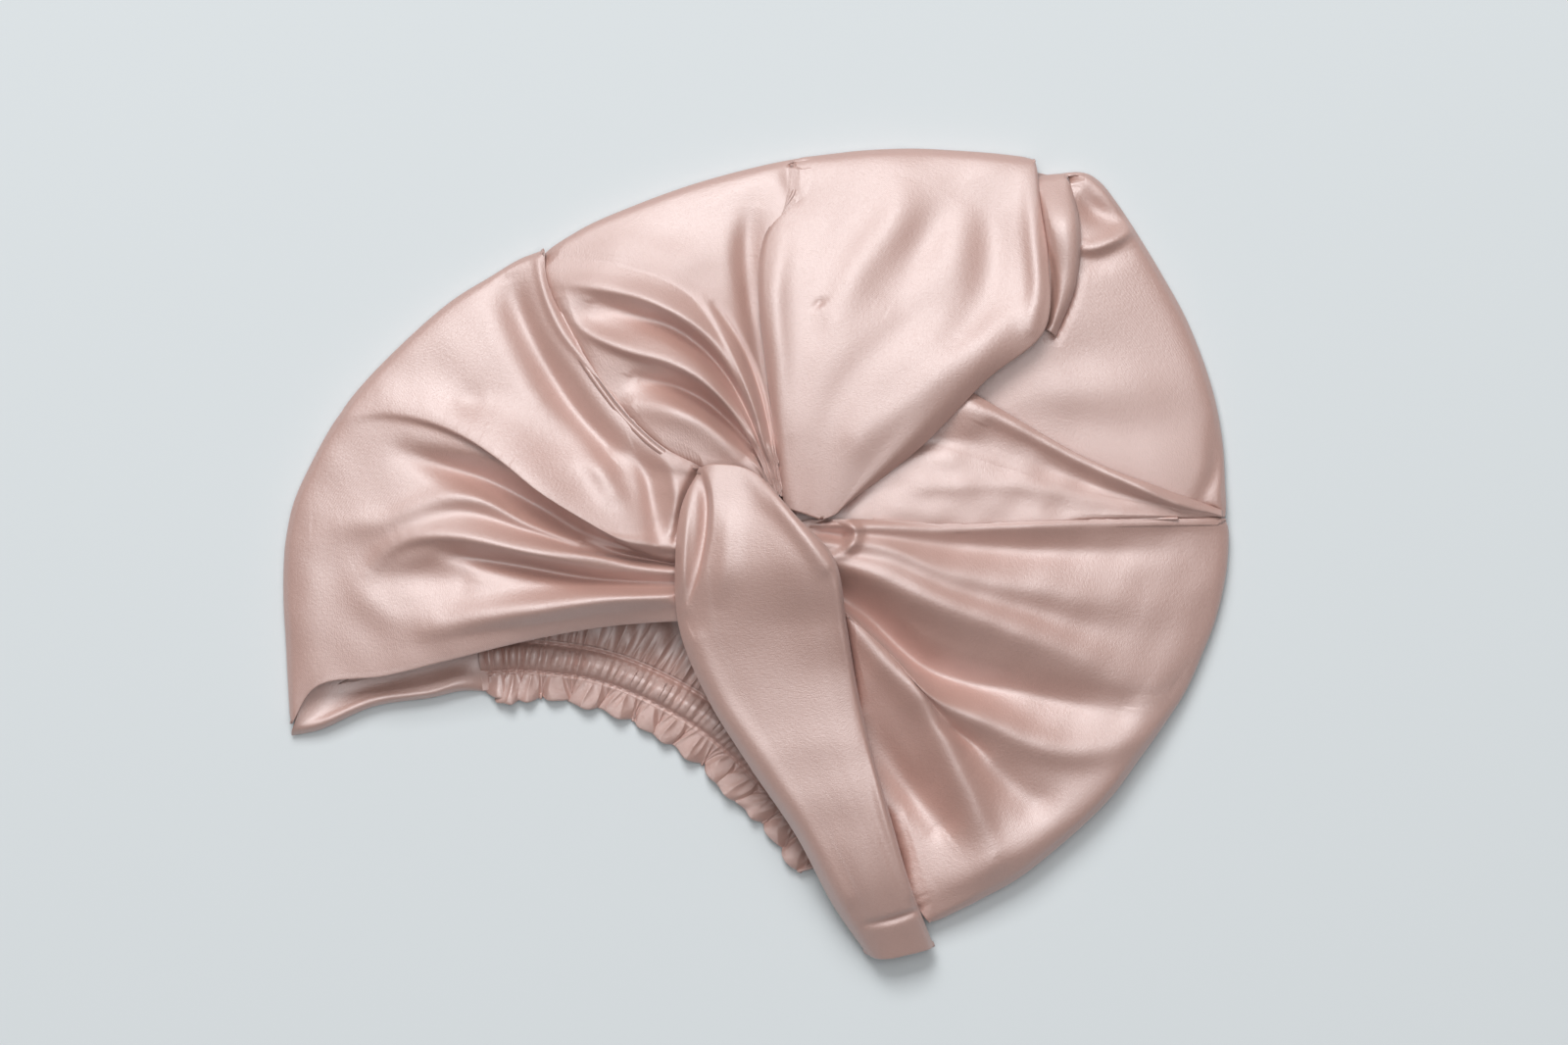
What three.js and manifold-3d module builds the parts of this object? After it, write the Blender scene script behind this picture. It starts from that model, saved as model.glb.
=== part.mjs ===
// A twist-front hair bonnet in silk satin, lying flat with its knot up.
// Sizes are in millimetres. X runs to the wearer's left as it lies, Y towards the crown and Z up.
// The origin is on the surface it lies on, under the middle of its outline.
import * as THREE from "three";
import { mergeVertices } from "three/addons/utils/BufferGeometryUtils.js";
import Module from "manifold-3d";

const wasm = await Module();
wasm.setup();

// Driving dimensions of the whole bonnet
const WIDTH = 308;
const KNOT_HEIGHT = 45;
const CLEARANCE = 0.3;
const SIDE_CLEARANCE = 0.8;
const SLIVER = 0.06;

// Cloth
const BACK_PLY = 0.9;
const FRONT_PLY = 1.4;
const LINING_PLY = 0.9;
const WRAP_PLY = 3;
const WRAP_END_RISE = 4.2;
const RIM_TOP = 6.5;

// The hollow for the head, between the back lining and the front lining
const HOLLOW_CEILING = 10.6;
const LINING_INSET = 5;

// Nape band
const ELASTIC_WIDTH = 7;
const ELASTIC_THICKNESS = 0.9;
const CASING_WIDTH = 11;
const CASING_PLY = 0.8;
const CASING_RUCHE_DEPTH = 1.7;
const FRILL_WIDTH = 8;
const FRILL_PLY = 1.2;
const FRILL_WAVE = 2.4;
const RUCHE_COUNT = 22;
const FRILL_COUNT = 13;
const GATHER_WIDTH = 9;
const GATHER_RISE = 2.6;
const APRON_REACH = 34;
const GATHER_END_SHARES = [0.09, 0.97];
const HEM_TAB_WIDTH = 3;
const HEM_TAB_HEIGHT = 2.6;

// Sewing thread and seams
const THREAD = 0.6;
const STITCH_RISE = 0.5;
const STITCH_COUNT = 28;
const STITCH_END_SHARE = 0.01;
const SEAM_WELT = 1.8;
const SEAM_LIFT_SHARE = 0.35;

// Knot
const CORE_HEIGHT = 26;
const CORE_LENGTH = 46;
const CORE_WIDTH = 32;
const CORE_TURN = 0.25;

const CUT_OVERRUN = 60;

// The plan is drafted on small squares. This many of them span the width, and the middle of the outline is here.
const SQUARES_ACROSS = 963;
const MIDDLE_ACROSS_PX = 771.5;
const MIDDLE_DOWN_PX = 564.5;
const SQUARE = WIDTH / SQUARES_ACROSS;
const PERCENT = KNOT_HEIGHT / 100;

const SILK = new THREE.MeshStandardMaterial({ color: 0xdfbdb2, roughness: 0.42, metalness: 0.15 });
const LINING_SILK = new THREE.MeshStandardMaterial({ color: 0xd9b3a7, roughness: 0.5, metalness: 0.1 });
const THREAD_COTTON = new THREE.MeshStandardMaterial({ color: 0xcf9f92, roughness: 0.8, metalness: 0 });
const ELASTIC_KNIT = new THREE.MeshStandardMaterial({ color: 0xf2ece6, roughness: 0.9, metalness: 0 });

// A place on the drafting squares, with its height in millimetres.
function place(across, down, height = 0) {
  return new THREE.Vector3((across - MIDDLE_ACROSS_PX) * SQUARE, (MIDDLE_DOWN_PX - down) * SQUARE, height);
}

// A fold line of a panel: places on the squares, with the heights as percentages of the knot's.
function foldLine(line) {
  return line.map(([across, down, rise]) => place(across, down, rise * PERCENT));
}

// Places on the squares as a smooth open curve at one height.
function planCurve(places, height = 0) {
  return new THREE.CatmullRomCurve3(places.map(([across, down]) => place(across, down, height)), false, "centripetal");
}

// Each fold line runs from the outline to the knot. A smooth skin through them gives the panel's upper face.
function skin(foldLines, steps, betweenLines) {
  const lines = foldLines.map((line) =>
    new THREE.CatmullRomCurve3(foldLine(line), false, "centripetal").getSpacedPoints(steps),
  );
  const rows = [];
  for (let i = 0; i <= steps; i++) {
    const across = new THREE.CatmullRomCurve3(lines.map((line) => line[i]), false, "centripetal");
    rows.push(across.getPoints((lines.length - 1) * betweenLines));
  }
  return rows;
}

// A closed geometry between two grids of points that share their plan, the upper one first.
function between(upper, lower) {
  const rows = upper.length;
  const columns = upper[0].length;
  const positions = [];
  for (const grid of [upper, lower]) {
    for (const row of grid) {
      for (const point of row) positions.push(point.x, point.y, point.z);
    }
  }
  const at = (layer, i, j) => (layer * rows + i) * columns + j;
  const index = [];
  const quad = (a, b, c, d) => index.push(a, b, c, a, c, d);
  for (let i = 0; i + 1 < rows; i++) {
    for (let j = 0; j + 1 < columns; j++) {
      quad(at(0, i, j), at(0, i + 1, j), at(0, i + 1, j + 1), at(0, i, j + 1));
      quad(at(1, i, j), at(1, i, j + 1), at(1, i + 1, j + 1), at(1, i + 1, j));
    }
    quad(at(0, i, 0), at(1, i, 0), at(1, i + 1, 0), at(0, i + 1, 0));
    const last = columns - 1;
    quad(at(0, i, last), at(0, i + 1, last), at(1, i + 1, last), at(1, i, last));
  }
  for (let j = 0; j + 1 < columns; j++) {
    quad(at(0, 0, j), at(0, 0, j + 1), at(1, 0, j + 1), at(1, 0, j));
    const last = rows - 1;
    quad(at(0, last, j), at(1, last, j), at(1, last, j + 1), at(0, last, j + 1));
  }
  const geometry = new THREE.BufferGeometry();
  geometry.setAttribute("position", new THREE.Float32BufferAttribute(positions, 3));
  geometry.setIndex(index);
  return geometry;
}

// The grid with one more line of points round it, which lies further out in plan.
function widened(grid, by) {
  const beyond = (point, inner) => {
    const way = new THREE.Vector3(point.x - inner.x, point.y - inner.y, 0);
    return point.clone().add(way.length() > 0 ? way.setLength(by) : way);
  };
  const rows = grid.map((row) => [beyond(row[0], row[1]), ...row, beyond(row.at(-1), row.at(-2))]);
  const first = rows[0].map((point, j) => beyond(point, rows[1][j]));
  const last = rows.at(-1).map((point, j) => beyond(point, rows.at(-2)[j]));
  return [first, ...rows, last];
}

const raised = (grid, by) => grid.map((row) => row.map((point) => new THREE.Vector3(point.x, point.y, point.z + by)));
const levelled = (grid, height) => grid.map((row) => row.map((point) => new THREE.Vector3(point.x, point.y, height)));

// A three.js geometry as a solid that can be cut. A geometry that came out inside out is turned.
function solid(geometry) {
  const bare = new THREE.BufferGeometry();
  bare.setAttribute("position", geometry.getAttribute("position").clone());
  if (geometry.index) bare.setIndex(geometry.index);
  const merged = mergeVertices(bare, CLEARANCE / 1000);
  const triVerts = new Uint32Array(merged.index.array);
  const vertProperties = merged.attributes.position.array;
  const made = new wasm.Manifold(new wasm.Mesh({ numProp: 3, vertProperties, triVerts }));
  if (made.volume() > 0) return made;
  for (let i = 0; i < triVerts.length; i += 3) {
    [triVerts[i + 1], triVerts[i + 2]] = [triVerts[i + 2], triVerts[i + 1]];
  }
  return new wasm.Manifold(new wasm.Mesh({ numProp: 3, vertProperties, triVerts }));
}

// The largest body that is left of a solid once others are cut from it, without the slivers of the cuts.
function cutBy(body, cutters) {
  let left = body;
  for (const cutter of cutters) left = left.subtract(cutter);
  const pieces = left.decompose();
  const largest = pieces.reduce((best, piece) => (piece.volume() > best.volume() ? piece : best), pieces[0]);
  return largest.simplify(SLIVER);
}

function meshOf(name, body, material) {
  const made = body.getMesh();
  const geometry = new THREE.BufferGeometry();
  const positions = new Float32Array(made.numVert * 3);
  for (let i = 0; i < made.numVert; i++) {
    positions.set(made.vertProperties.subarray(i * made.numProp, i * made.numProp + 3), i * 3);
  }
  geometry.setAttribute("position", new THREE.BufferAttribute(positions, 3));
  geometry.setIndex(new THREE.BufferAttribute(new Uint32Array(made.triVerts), 1));
  geometry.computeVertexNormals();
  const mesh = new THREE.Mesh(geometry, material);
  mesh.name = name;
  return mesh;
}

// A cloth panel from its fold lines: its body, and the space above it that panels under it keep out of.
// Where its rim lies at the outline it comes down to the back, and the rest of it keeps above a lowest level.
function panel(foldLines, { ply, steps = 12, betweenLines = 2, lowest = BACK_PLY + CLEARANCE, stands = true }) {
  const upper = skin(foldLines, steps, betweenLines);
  const lower = upper.map((row, i) =>
    row.map((point) => {
      const height = stands && i === 0 && point.z < RIM_TOP ? lowest : Math.max(point.z - ply, lowest);
      return new THREE.Vector3(point.x, point.y, Math.min(height, point.z - CLEARANCE));
    }),
  );
  const floor = widened(raised(lower, -CLEARANCE), SIDE_CLEARANCE);
  return {
    body: solid(between(upper, lower)),
    above: solid(between(levelled(floor, KNOT_HEIGHT + CUT_OVERRUN), floor)),
  };
}

// Outline of the whole bonnet, from the left corner of the mouth round the crown to the right corner.
const OUTLINE_PX = [
  [297, 748], [292, 690], [290, 600], [294, 540], [308, 490], [345, 425], [400, 360], [478, 296], [555, 253],
  [640, 213], [720, 184], [806, 163], [870, 154], [925, 152], [990, 154], [1057, 163], [1100, 176], [1140, 208],
  [1185, 280], [1220, 345], [1242, 420], [1250, 500], [1253, 550], [1240, 630], [1212, 700], [1165, 770],
  [1105, 845], [1040, 894], [960, 938], [932, 942],
];
// Middle of the elastic band, and the plain hems that run from its ends to the corners of the mouth.
const BAND_PX = [
  [490, 671], [525, 669], [565, 672], [600, 677], [630, 685], [660, 697], [690, 712], [718, 729], [745, 750],
  [775, 778], [805, 808], [832, 840], [856, 872],
];
const LEFT_HEM_PX = [[306, 742], [330, 734], [360, 722], [390, 709], [420, 700], [450, 697], [476, 690]];
const RIGHT_HEM_PX = [[868, 888], [885, 906], [902, 921], [922, 936]];
// The front hems, from the left corner up to the knot and down to the right corner.
const FRONT_HEM_PX = [
  [330, 704], [395, 689], [460, 673], [540, 653], [625, 638], [700, 640], [750, 705], [800, 780], [850, 856], [905, 920],
];
// The middle of the knot's core, and the top of the lining's dome.
const CORE_PX = [775, 580];
const LINING_MIDDLE_PX = [745, 545];
// How the lining rises: shares of the way from its rim to its top, and of its full rise.
const LINING_SLOPE_SHARES = [[0, 0], [0.06, 0.42], [0.13, 0.76], [0.22, 0.95], [0.36, 1]];

// Fold lines, each from the outline to the knot: squares across, squares down, and height as a share of the knot's.
const LEFT_FRONT_FOLD_SHARES = [
  [[556, 252, 9], [560, 290, 24], [583, 338, 33], [612, 385, 40], [645, 427, 47], [680, 458, 55], [716, 476, 58]],
  [[549, 257, 10], [553, 293, 27], [576, 343, 36], [605, 390, 43], [638, 433, 50], [674, 464, 58], [716, 482, 60]],
  [[528, 266, 9], [533, 305, 22], [553, 352, 29], [583, 402, 33], [620, 448, 40], [662, 478, 50], [714, 490, 57]],
  [[500, 283, 9], [508, 325, 28], [535, 375, 36], [572, 425, 38], [612, 470, 44], [658, 500, 52], [712, 505, 56]],
  [[460, 308, 9], [472, 345, 33], [505, 395, 40], [548, 440, 44], [595, 485, 50], [650, 520, 54], [712, 520, 56]],
  [[415, 347, 9], [430, 380, 35], [468, 415, 43], [515, 450, 50], [572, 495, 55], [640, 535, 56], [712, 535, 56]],
  [[372, 390, 9], [392, 418, 34], [440, 436, 50], [500, 463, 60], [560, 505, 62], [625, 545, 60], [712, 556, 56]],
  [[345, 425, 9], [362, 447, 28], [430, 462, 36], [494, 482, 40], [551, 522, 40], [620, 556, 48], [712, 566, 54]],
  [[322, 465, 9], [345, 485, 28], [420, 492, 33], [490, 507, 33], [545, 532, 34], [615, 560, 42], [712, 570, 48]],
  [[303, 505, 9], [335, 512, 29], [400, 520, 37], [470, 520, 42], [540, 542, 44], [615, 566, 46], [712, 574, 48]],
  [[293, 545, 9], [330, 556, 30], [392, 562, 38], [460, 545, 52], [540, 556, 56], [620, 569, 54], [712, 580, 54]],
  [[290, 580, 9], [330, 585, 30], [395, 590, 34], [470, 572, 38], [540, 575, 38], [620, 585, 40], [712, 590, 44]],
  [[290, 615, 9], [325, 617, 30], [390, 615, 36], [470, 605, 40], [545, 597, 42], [620, 596, 46], [712, 598, 48]],
  [[292, 650, 9], [325, 648, 30], [390, 645, 36], [470, 633, 46], [545, 622, 52], [620, 611, 56], [712, 606, 56]],
  [[294, 690, 9], [322, 675, 27], [390, 668, 34], [465, 652, 40], [545, 638, 44], [625, 625, 48], [712, 620, 50]],
  [[297, 742, 9], [325, 700, 24], [395, 689, 32], [460, 673, 35], [540, 653, 38], [625, 638, 42], [712, 632, 46]],
];
const CROWN_LEFT_FOLD_SHARES = [
  [[694, 464, 44], [712, 470, 48], [735, 474, 51], [748, 480, 53], [764, 489, 55], [778, 497, 55]],
  [[668, 446, 42], [690, 432, 52], [720, 437, 58], [750, 455, 60], [776, 480, 60], [782, 499, 57]],
  [[632, 402, 34], [668, 392, 40], [705, 396, 38], [738, 420, 38], [766, 452, 46], [786, 500, 55]],
  [[605, 362, 32], [650, 365, 46], [690, 370, 52], [730, 397, 56], [762, 440, 58], [789, 502, 57]],
  [[590, 338, 30], [640, 350, 46], [685, 357, 52], [728, 383, 55], [765, 430, 57], [791, 503, 57]],
  [[577, 316, 27], [625, 326, 34], [680, 336, 38], [728, 368, 42], [768, 425, 50], [793, 504, 56]],
  [[568, 296, 24], [620, 297, 38], [680, 312, 50], [728, 350, 54], [770, 415, 56], [795, 505, 57]],
  [[558, 262, 14], [620, 272, 36], [690, 295, 46], [738, 340, 48], [774, 405, 53], [797, 506, 57]],
  [[590, 236, 9], [640, 250, 33], [705, 285, 46], [748, 330, 50], [779, 400, 55], [799, 507, 57]],
  [[650, 209, 9], [680, 235, 33], [725, 270, 46], [757, 320, 48], [782, 395, 53], [801, 507, 57]],
  [[715, 186, 9], [735, 215, 32], [752, 255, 40], [768, 310, 42], [785, 390, 50], [803, 507, 56]],
  [[775, 170, 9], [780, 200, 32], [772, 245, 34], [778, 310, 37], [789, 390, 46], [805, 506, 55]],
  [[815, 162, 9], [812, 200, 32], [795, 250, 34], [792, 310, 36], [797, 390, 44], [808, 505, 54]],
];
const CROWN_LOBE_FOLD_SHARES = [
  [[806, 163, 9], [812, 195, 34], [778, 243, 38], [774, 300, 42], [781, 370, 47], [790, 440, 53], [800, 520, 56]],
  [[818, 161, 9], [824, 192, 35], [788, 238, 46], [782, 300, 52], [788, 370, 54], [796, 440, 58], [805, 520, 58]],
  [[845, 158, 9], [845, 190, 36], [815, 235, 53], [800, 300, 58], [803, 370, 58], [806, 440, 60], [812, 522, 60]],
  [[880, 154, 9], [880, 185, 36], [862, 240, 56], [846, 310, 62], [836, 380, 62], [826, 450, 62], [822, 525, 60]],
  [[930, 152, 9], [925, 185, 36], [912, 240, 56], [892, 310, 62], [872, 380, 62], [850, 450, 62], [830, 528, 60]],
  [[975, 154, 9], [968, 188, 36], [955, 245, 54], [935, 315, 60], [905, 385, 62], [872, 455, 62], [838, 530, 59]],
  [[1015, 157, 9], [1010, 190, 36], [1000, 250, 52], [982, 315, 58], [950, 380, 60], [905, 445, 60], [848, 527, 58]],
  [[1048, 161, 9], [1046, 200, 38], [1042, 255, 54], [1030, 320, 58], [990, 378, 58], [930, 447, 58], [855, 523, 56]],
  [[1057, 163, 9], [1060, 205, 34], [1068, 265, 46], [1064, 338, 49], [1006, 388, 49], [937, 458, 49], [860, 517, 49]],
];
const CROWN_FLAP_FOLD_SHARES = [
  [[1052, 180, 9], [1052, 230, 30], [1056, 280, 34], [1060, 335, 36]],
  [[1066, 178, 9], [1072, 230, 33], [1074, 280, 38], [1067, 338, 38]],
  [[1082, 177, 9], [1084, 230, 37], [1083, 290, 42], [1072, 340, 41]],
  [[1097, 179, 9], [1094, 235, 33], [1093, 290, 37], [1076, 343, 38]],
];
const CROWN_RIGHT_FOLD_SHARES = [
  [[1100, 176, 9], [1098, 192, 25], [1080, 215, 29], [1050, 260, 30], [1000, 330, 31]],
  [[1122, 186, 9], [1112, 205, 27], [1090, 235, 30], [1050, 290, 31], [985, 370, 31]],
  [[1142, 211, 9], [1130, 228, 28], [1100, 252, 31], [1050, 310, 31], [975, 395, 31]],
  [[1157, 234, 9], [1135, 247, 30], [1100, 266, 31], [1045, 325, 31], [965, 410, 31]],
  [[1185, 280, 9], [1160, 290, 29], [1115, 310, 32], [1050, 350, 32], [950, 425, 31]],
  [[1212, 330, 9], [1185, 335, 29], [1130, 350, 31], [1055, 380, 31], [945, 435, 31]],
  [[1236, 395, 9], [1205, 395, 30], [1140, 400, 33], [1060, 405, 32], [945, 445, 31]],
  [[1247, 450, 9], [1215, 445, 29], [1145, 440, 31], [1060, 430, 31], [945, 455, 31]],
  [[1250, 500, 9], [1220, 492, 29], [1150, 478, 31], [1060, 455, 31], [945, 465, 31]],
  [[1252, 528, 9], [1225, 525, 27], [1150, 510, 30], [1060, 485, 30], [945, 480, 30]],
];
const CROWN_PLEAT_FOLD_SHARES = [
  [[1246, 522, 17], [1180, 498, 36], [1100, 462, 38], [1040, 428, 39], [990, 400, 40], [960, 385, 38]],
  [[1246, 525, 18], [1180, 506, 40], [1100, 474, 44], [1040, 442, 45], [985, 415, 46], [940, 400, 40]],
  [[1246, 527, 18], [1180, 514, 36], [1100, 492, 38], [1030, 465, 39], [965, 440, 40], [905, 420, 38]],
  [[1246, 530, 18], [1180, 520, 36], [1100, 508, 38], [1020, 490, 41], [940, 470, 43], [870, 455, 40]],
  [[1246, 532, 18], [1180, 526, 35], [1100, 520, 37], [1010, 512, 40], [920, 498, 43], [850, 490, 42]],
  [[1246, 536, 17], [1180, 534, 33], [1100, 532, 35], [1000, 532, 38], [910, 522, 42], [838, 520, 43]],
  [[1246, 544, 16], [1180, 545, 31], [1100, 545, 33], [1000, 548, 36], [910, 545, 40], [840, 540, 41]],
];
const RIGHT_FRONT_FOLD_SHARES = [
  [[1251, 528, 14], [1200, 529, 34], [1120, 530, 40], [1040, 532, 44], [960, 535, 48], [890, 530, 52], [835, 532, 54]],
  [[1253, 537, 12], [1200, 536, 37], [1120, 537, 44], [1040, 539, 48], [960, 542, 52], [890, 537, 57], [835, 540, 58]],
  [[1253, 560, 9], [1205, 562, 33], [1130, 562, 38], [1040, 560, 43], [960, 556, 49], [890, 548, 56], [833, 548, 58]],
  [[1249, 595, 9], [1200, 592, 33], [1130, 588, 40], [1050, 585, 47], [970, 576, 53], [900, 560, 58], [832, 556, 59]],
  [[1240, 630, 9], [1192, 632, 32], [1120, 622, 42], [1040, 604, 51], [960, 585, 58], [895, 565, 61], [831, 560, 60]],
  [[1226, 668, 9], [1180, 668, 31], [1110, 655, 42], [1030, 628, 55], [950, 598, 63], [890, 574, 64], [830, 566, 60]],
  [[1210, 704, 9], [1165, 698, 30], [1100, 690, 34], [1020, 665, 37], [945, 630, 41], [890, 598, 48], [830, 577, 56]],
  [[1190, 735, 9], [1150, 722, 29], [1090, 716, 32], [1015, 700, 32], [945, 665, 35], [888, 622, 42], [830, 590, 52]],
  [[1165, 770, 9], [1125, 758, 29], [1060, 745, 36], [985, 735, 44], [938, 700, 54], [895, 650, 60], [840, 600, 56]],
  [[1135, 808, 9], [1100, 790, 29], [1040, 775, 34], [975, 760, 40], [922, 720, 49], [887, 668, 56], [848, 612, 54]],
  [[1105, 845, 9], [1070, 825, 28], [1015, 812, 35], [965, 790, 40], [912, 738, 44], [880, 685, 50], [852, 625, 52]],
  [[1060, 880, 9], [1030, 860, 27], [985, 843, 31], [948, 812, 33], [905, 755, 38], [876, 695, 45], [850, 632, 50]],
  [[1000, 917, 9], [972, 890, 26], [942, 862, 31], [915, 820, 34], [890, 757, 40], [868, 700, 46], [846, 640, 50]],
  [[948, 943, 9], [930, 915, 24], [905, 870, 29], [885, 820, 32], [868, 757, 36], [853, 700, 42], [838, 645, 48]],
];
const TWIST_WRAP_FOLD_SHARES = [
  [[716, 478, 64], [697, 515, 68], [690, 575, 70], [694, 640, 66], [722, 710, 56], [765, 780, 46], [812, 850, 38],
    [850, 922, 26], [884, 972, 12]],
  [[722, 476, 67], [707, 515, 75], [701, 575, 79], [706, 640, 75], [733, 708, 63], [776, 778, 52], [822, 848, 43],
    [858, 918, 33], [890, 975, 18]],
  [[732, 474, 69], [722, 515, 82], [722, 575, 89], [730, 640, 83], [757, 705, 70], [797, 772, 57], [840, 840, 48],
    [872, 905, 39], [899, 977, 23]],
  [[748, 472, 70], [745, 515, 88], [752, 580, 98], [765, 640, 91], [788, 700, 76], [822, 765, 62], [858, 830, 52],
    [886, 898, 42], [912, 976, 25]],
  [[762, 478, 70], [768, 520, 88], [785, 580, 100], [805, 640, 93], [822, 700, 78], [846, 765, 64], [876, 830, 54],
    [900, 895, 43], [925, 973, 25]],
  [[776, 487, 69], [793, 530, 85], [820, 580, 93], [838, 640, 87], [848, 700, 73], [866, 765, 60], [890, 830, 50],
    [912, 895, 40], [938, 970, 24]],
  [[788, 497, 67], [815, 540, 79], [845, 580, 82], [858, 640, 77], [868, 700, 65], [884, 765, 54], [905, 835, 45],
    [924, 895, 36], [948, 967, 20]],
  [[792, 502, 64], [822, 540, 70], [853, 580, 71], [864, 640, 66], [874, 700, 56], [889, 765, 47], [909, 835, 39],
    [928, 900, 30], [953, 965, 12]],
];

const wrap = panel(TWIST_WRAP_FOLD_SHARES, { ply: WRAP_PLY, steps: 18, lowest: WRAP_END_RISE, stands: false });
const lobe = panel(CROWN_LOBE_FOLD_SHARES, { ply: FRONT_PLY, steps: 12 });
const flap = panel(CROWN_FLAP_FOLD_SHARES, { ply: FRONT_PLY, steps: 8 });
const rightFront = panel(RIGHT_FRONT_FOLD_SHARES, { ply: FRONT_PLY, steps: 12 });
const leftFront = panel(LEFT_FRONT_FOLD_SHARES, { ply: FRONT_PLY, steps: 12 });
const crownPleat = panel(CROWN_PLEAT_FOLD_SHARES, { ply: FRONT_PLY, steps: 10 });
const crownLeft = panel(CROWN_LEFT_FOLD_SHARES, { ply: FRONT_PLY, steps: 10 });
const crownRight = panel(CROWN_RIGHT_FOLD_SHARES, { ply: FRONT_PLY, steps: 8 });

// A round cord along a curve, as a closed geometry with flat ends.
function cordGeometry(curve, radius, sides, steps) {
  const section = new THREE.Shape();
  for (let i = 0; i < sides; i++) {
    const angle = (i / sides) * Math.PI * 2;
    const corner = [Math.cos(angle) * radius, Math.sin(angle) * radius];
    if (i === 0) section.moveTo(...corner);
    else section.lineTo(...corner);
  }
  section.closePath();
  return new THREE.ExtrudeGeometry(section, { steps, extrudePath: curve, bevelEnabled: false });
}

// A raised seam along the first fold line of a panel, and the room that it takes.
function seam(foldLineShares) {
  const lift = new THREE.Vector3(0, 0, SEAM_WELT * SEAM_LIFT_SHARE);
  const points = foldLine(foldLineShares.slice(1, -1)).map((point) => point.add(lift));
  const curve = new THREE.CatmullRomCurve3(points, false, "centripetal");
  return {
    body: solid(cordGeometry(curve, SEAM_WELT / 2, 8, 20)),
    room: solid(cordGeometry(curve, SEAM_WELT / 2 + CLEARANCE, 8, 20)),
  };
}
const leftSeam = seam(LEFT_FRONT_FOLD_SHARES[0]);
const rightSeam = seam(RIGHT_FRONT_FOLD_SHARES[0]);

// Knot core: the gathered ends of both front panels, twisted together under the wrap.
function knotCore(extra) {
  const geometry = new THREE.SphereGeometry(1, 18, 12);
  geometry.scale(CORE_WIDTH / 2 + extra, CORE_LENGTH / 2 + extra, CORE_HEIGHT / 2 + extra);
  geometry.rotateZ(CORE_TURN);
  const middle = place(...CORE_PX, HOLLOW_CEILING + LINING_PLY + CLEARANCE + CORE_HEIGHT / 2);
  return solid(geometry.translate(middle.x, middle.y, middle.z));
}

// Middle of the nape band, from its left end under the front hem to its right end under the wrap.
const bandLine = planCurve(BAND_PX);

// A place beside the band's middle line: a share of the way along it, and a distance away from the head.
function beside(curve, along, offset, height = 0) {
  const point = curve.getPointAt(along);
  const way = curve.getTangentAt(along);
  return new THREE.Vector3(point.x + way.y * offset, point.y - way.x * offset, height);
}

// A strip of cloth along a curve: for each offset across it, the heights of its two faces at each step.
// It runs between two shares of the curve's length.
function strip(curve, offsets, steps, faces, [start, end] = [0, 1]) {
  const upper = [];
  const lower = [];
  for (let i = 0; i <= steps; i++) {
    const along = THREE.MathUtils.lerp(start, end, i / steps);
    upper.push(offsets.map((offset, j) => beside(curve, along, offset, faces(along, j).top)));
    lower.push(offsets.map((offset, j) => beside(curve, along, offset, faces(along, j).bottom)));
  }
  return solid(between(upper, lower));
}

const HALF_CASING = CASING_WIDTH / 2;
const HALF_ELASTIC = ELASTIC_WIDTH / 2;
const ELASTIC_BOTTOM = CASING_PLY + CLEARANCE;
const CASING_TOP_BOTTOM = ELASTIC_BOTTOM + ELASTIC_THICKNESS + CLEARANCE;
const SEAM_ALLOWANCE = HALF_CASING - HALF_ELASTIC - CLEARANCE * 2;
const STITCH_OFFSET = HALF_CASING - SEAM_ALLOWANCE / 2;
const STITCH_MIDDLE = ELASTIC_BOTTOM + CASING_PLY + CLEARANCE + THREAD / 2;

const casingUnder = strip(bandLine, [-HALF_CASING, HALF_CASING], 24, () => ({ top: CASING_PLY, bottom: 0 }));
const elastic = strip(bandLine, [-HALF_ELASTIC, HALF_ELASTIC], 24, () => ({
  top: ELASTIC_BOTTOM + ELASTIC_THICKNESS, bottom: ELASTIC_BOTTOM,
}));

// The casing's upper ply is drawn up over the elastic in small pleats across it.
const shut = HALF_CASING - SEAM_ALLOWANCE;
const casingTop = strip(
  bandLine,
  [-HALF_CASING, -shut - CLEARANCE, -HALF_ELASTIC - CLEARANCE, 0, HALF_ELASTIC + CLEARANCE, shut + CLEARANCE, HALF_CASING],
  RUCHE_COUNT * 2,
  (along, j) => {
    const atSeam = j < 2 || j > 4;
    const bottom = atSeam ? ELASTIC_BOTTOM : CASING_TOP_BOTTOM;
    const ruche = atSeam ? 0 : CASING_RUCHE_DEPTH * Math.abs(Math.sin(along * RUCHE_COUNT * Math.PI));
    return { top: bottom + CASING_PLY + ruche, bottom };
  },
);

// Frill beyond the outer row of stitches: its waves grow towards its free edge.
const frillShares = [0, 0.4, 1];
const frill = strip(
  bandLine,
  frillShares.map((share) => HALF_CASING + CLEARANCE + share * FRILL_WIDTH),
  FRILL_COUNT * 4,
  (along, j) => {
    const wave = (0.5 + 0.5 * Math.sin(along * FRILL_COUNT * Math.PI * 2)) * FRILL_WAVE * frillShares[j];
    return { top: FRILL_PLY + wave, bottom: wave };
  },
);

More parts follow.
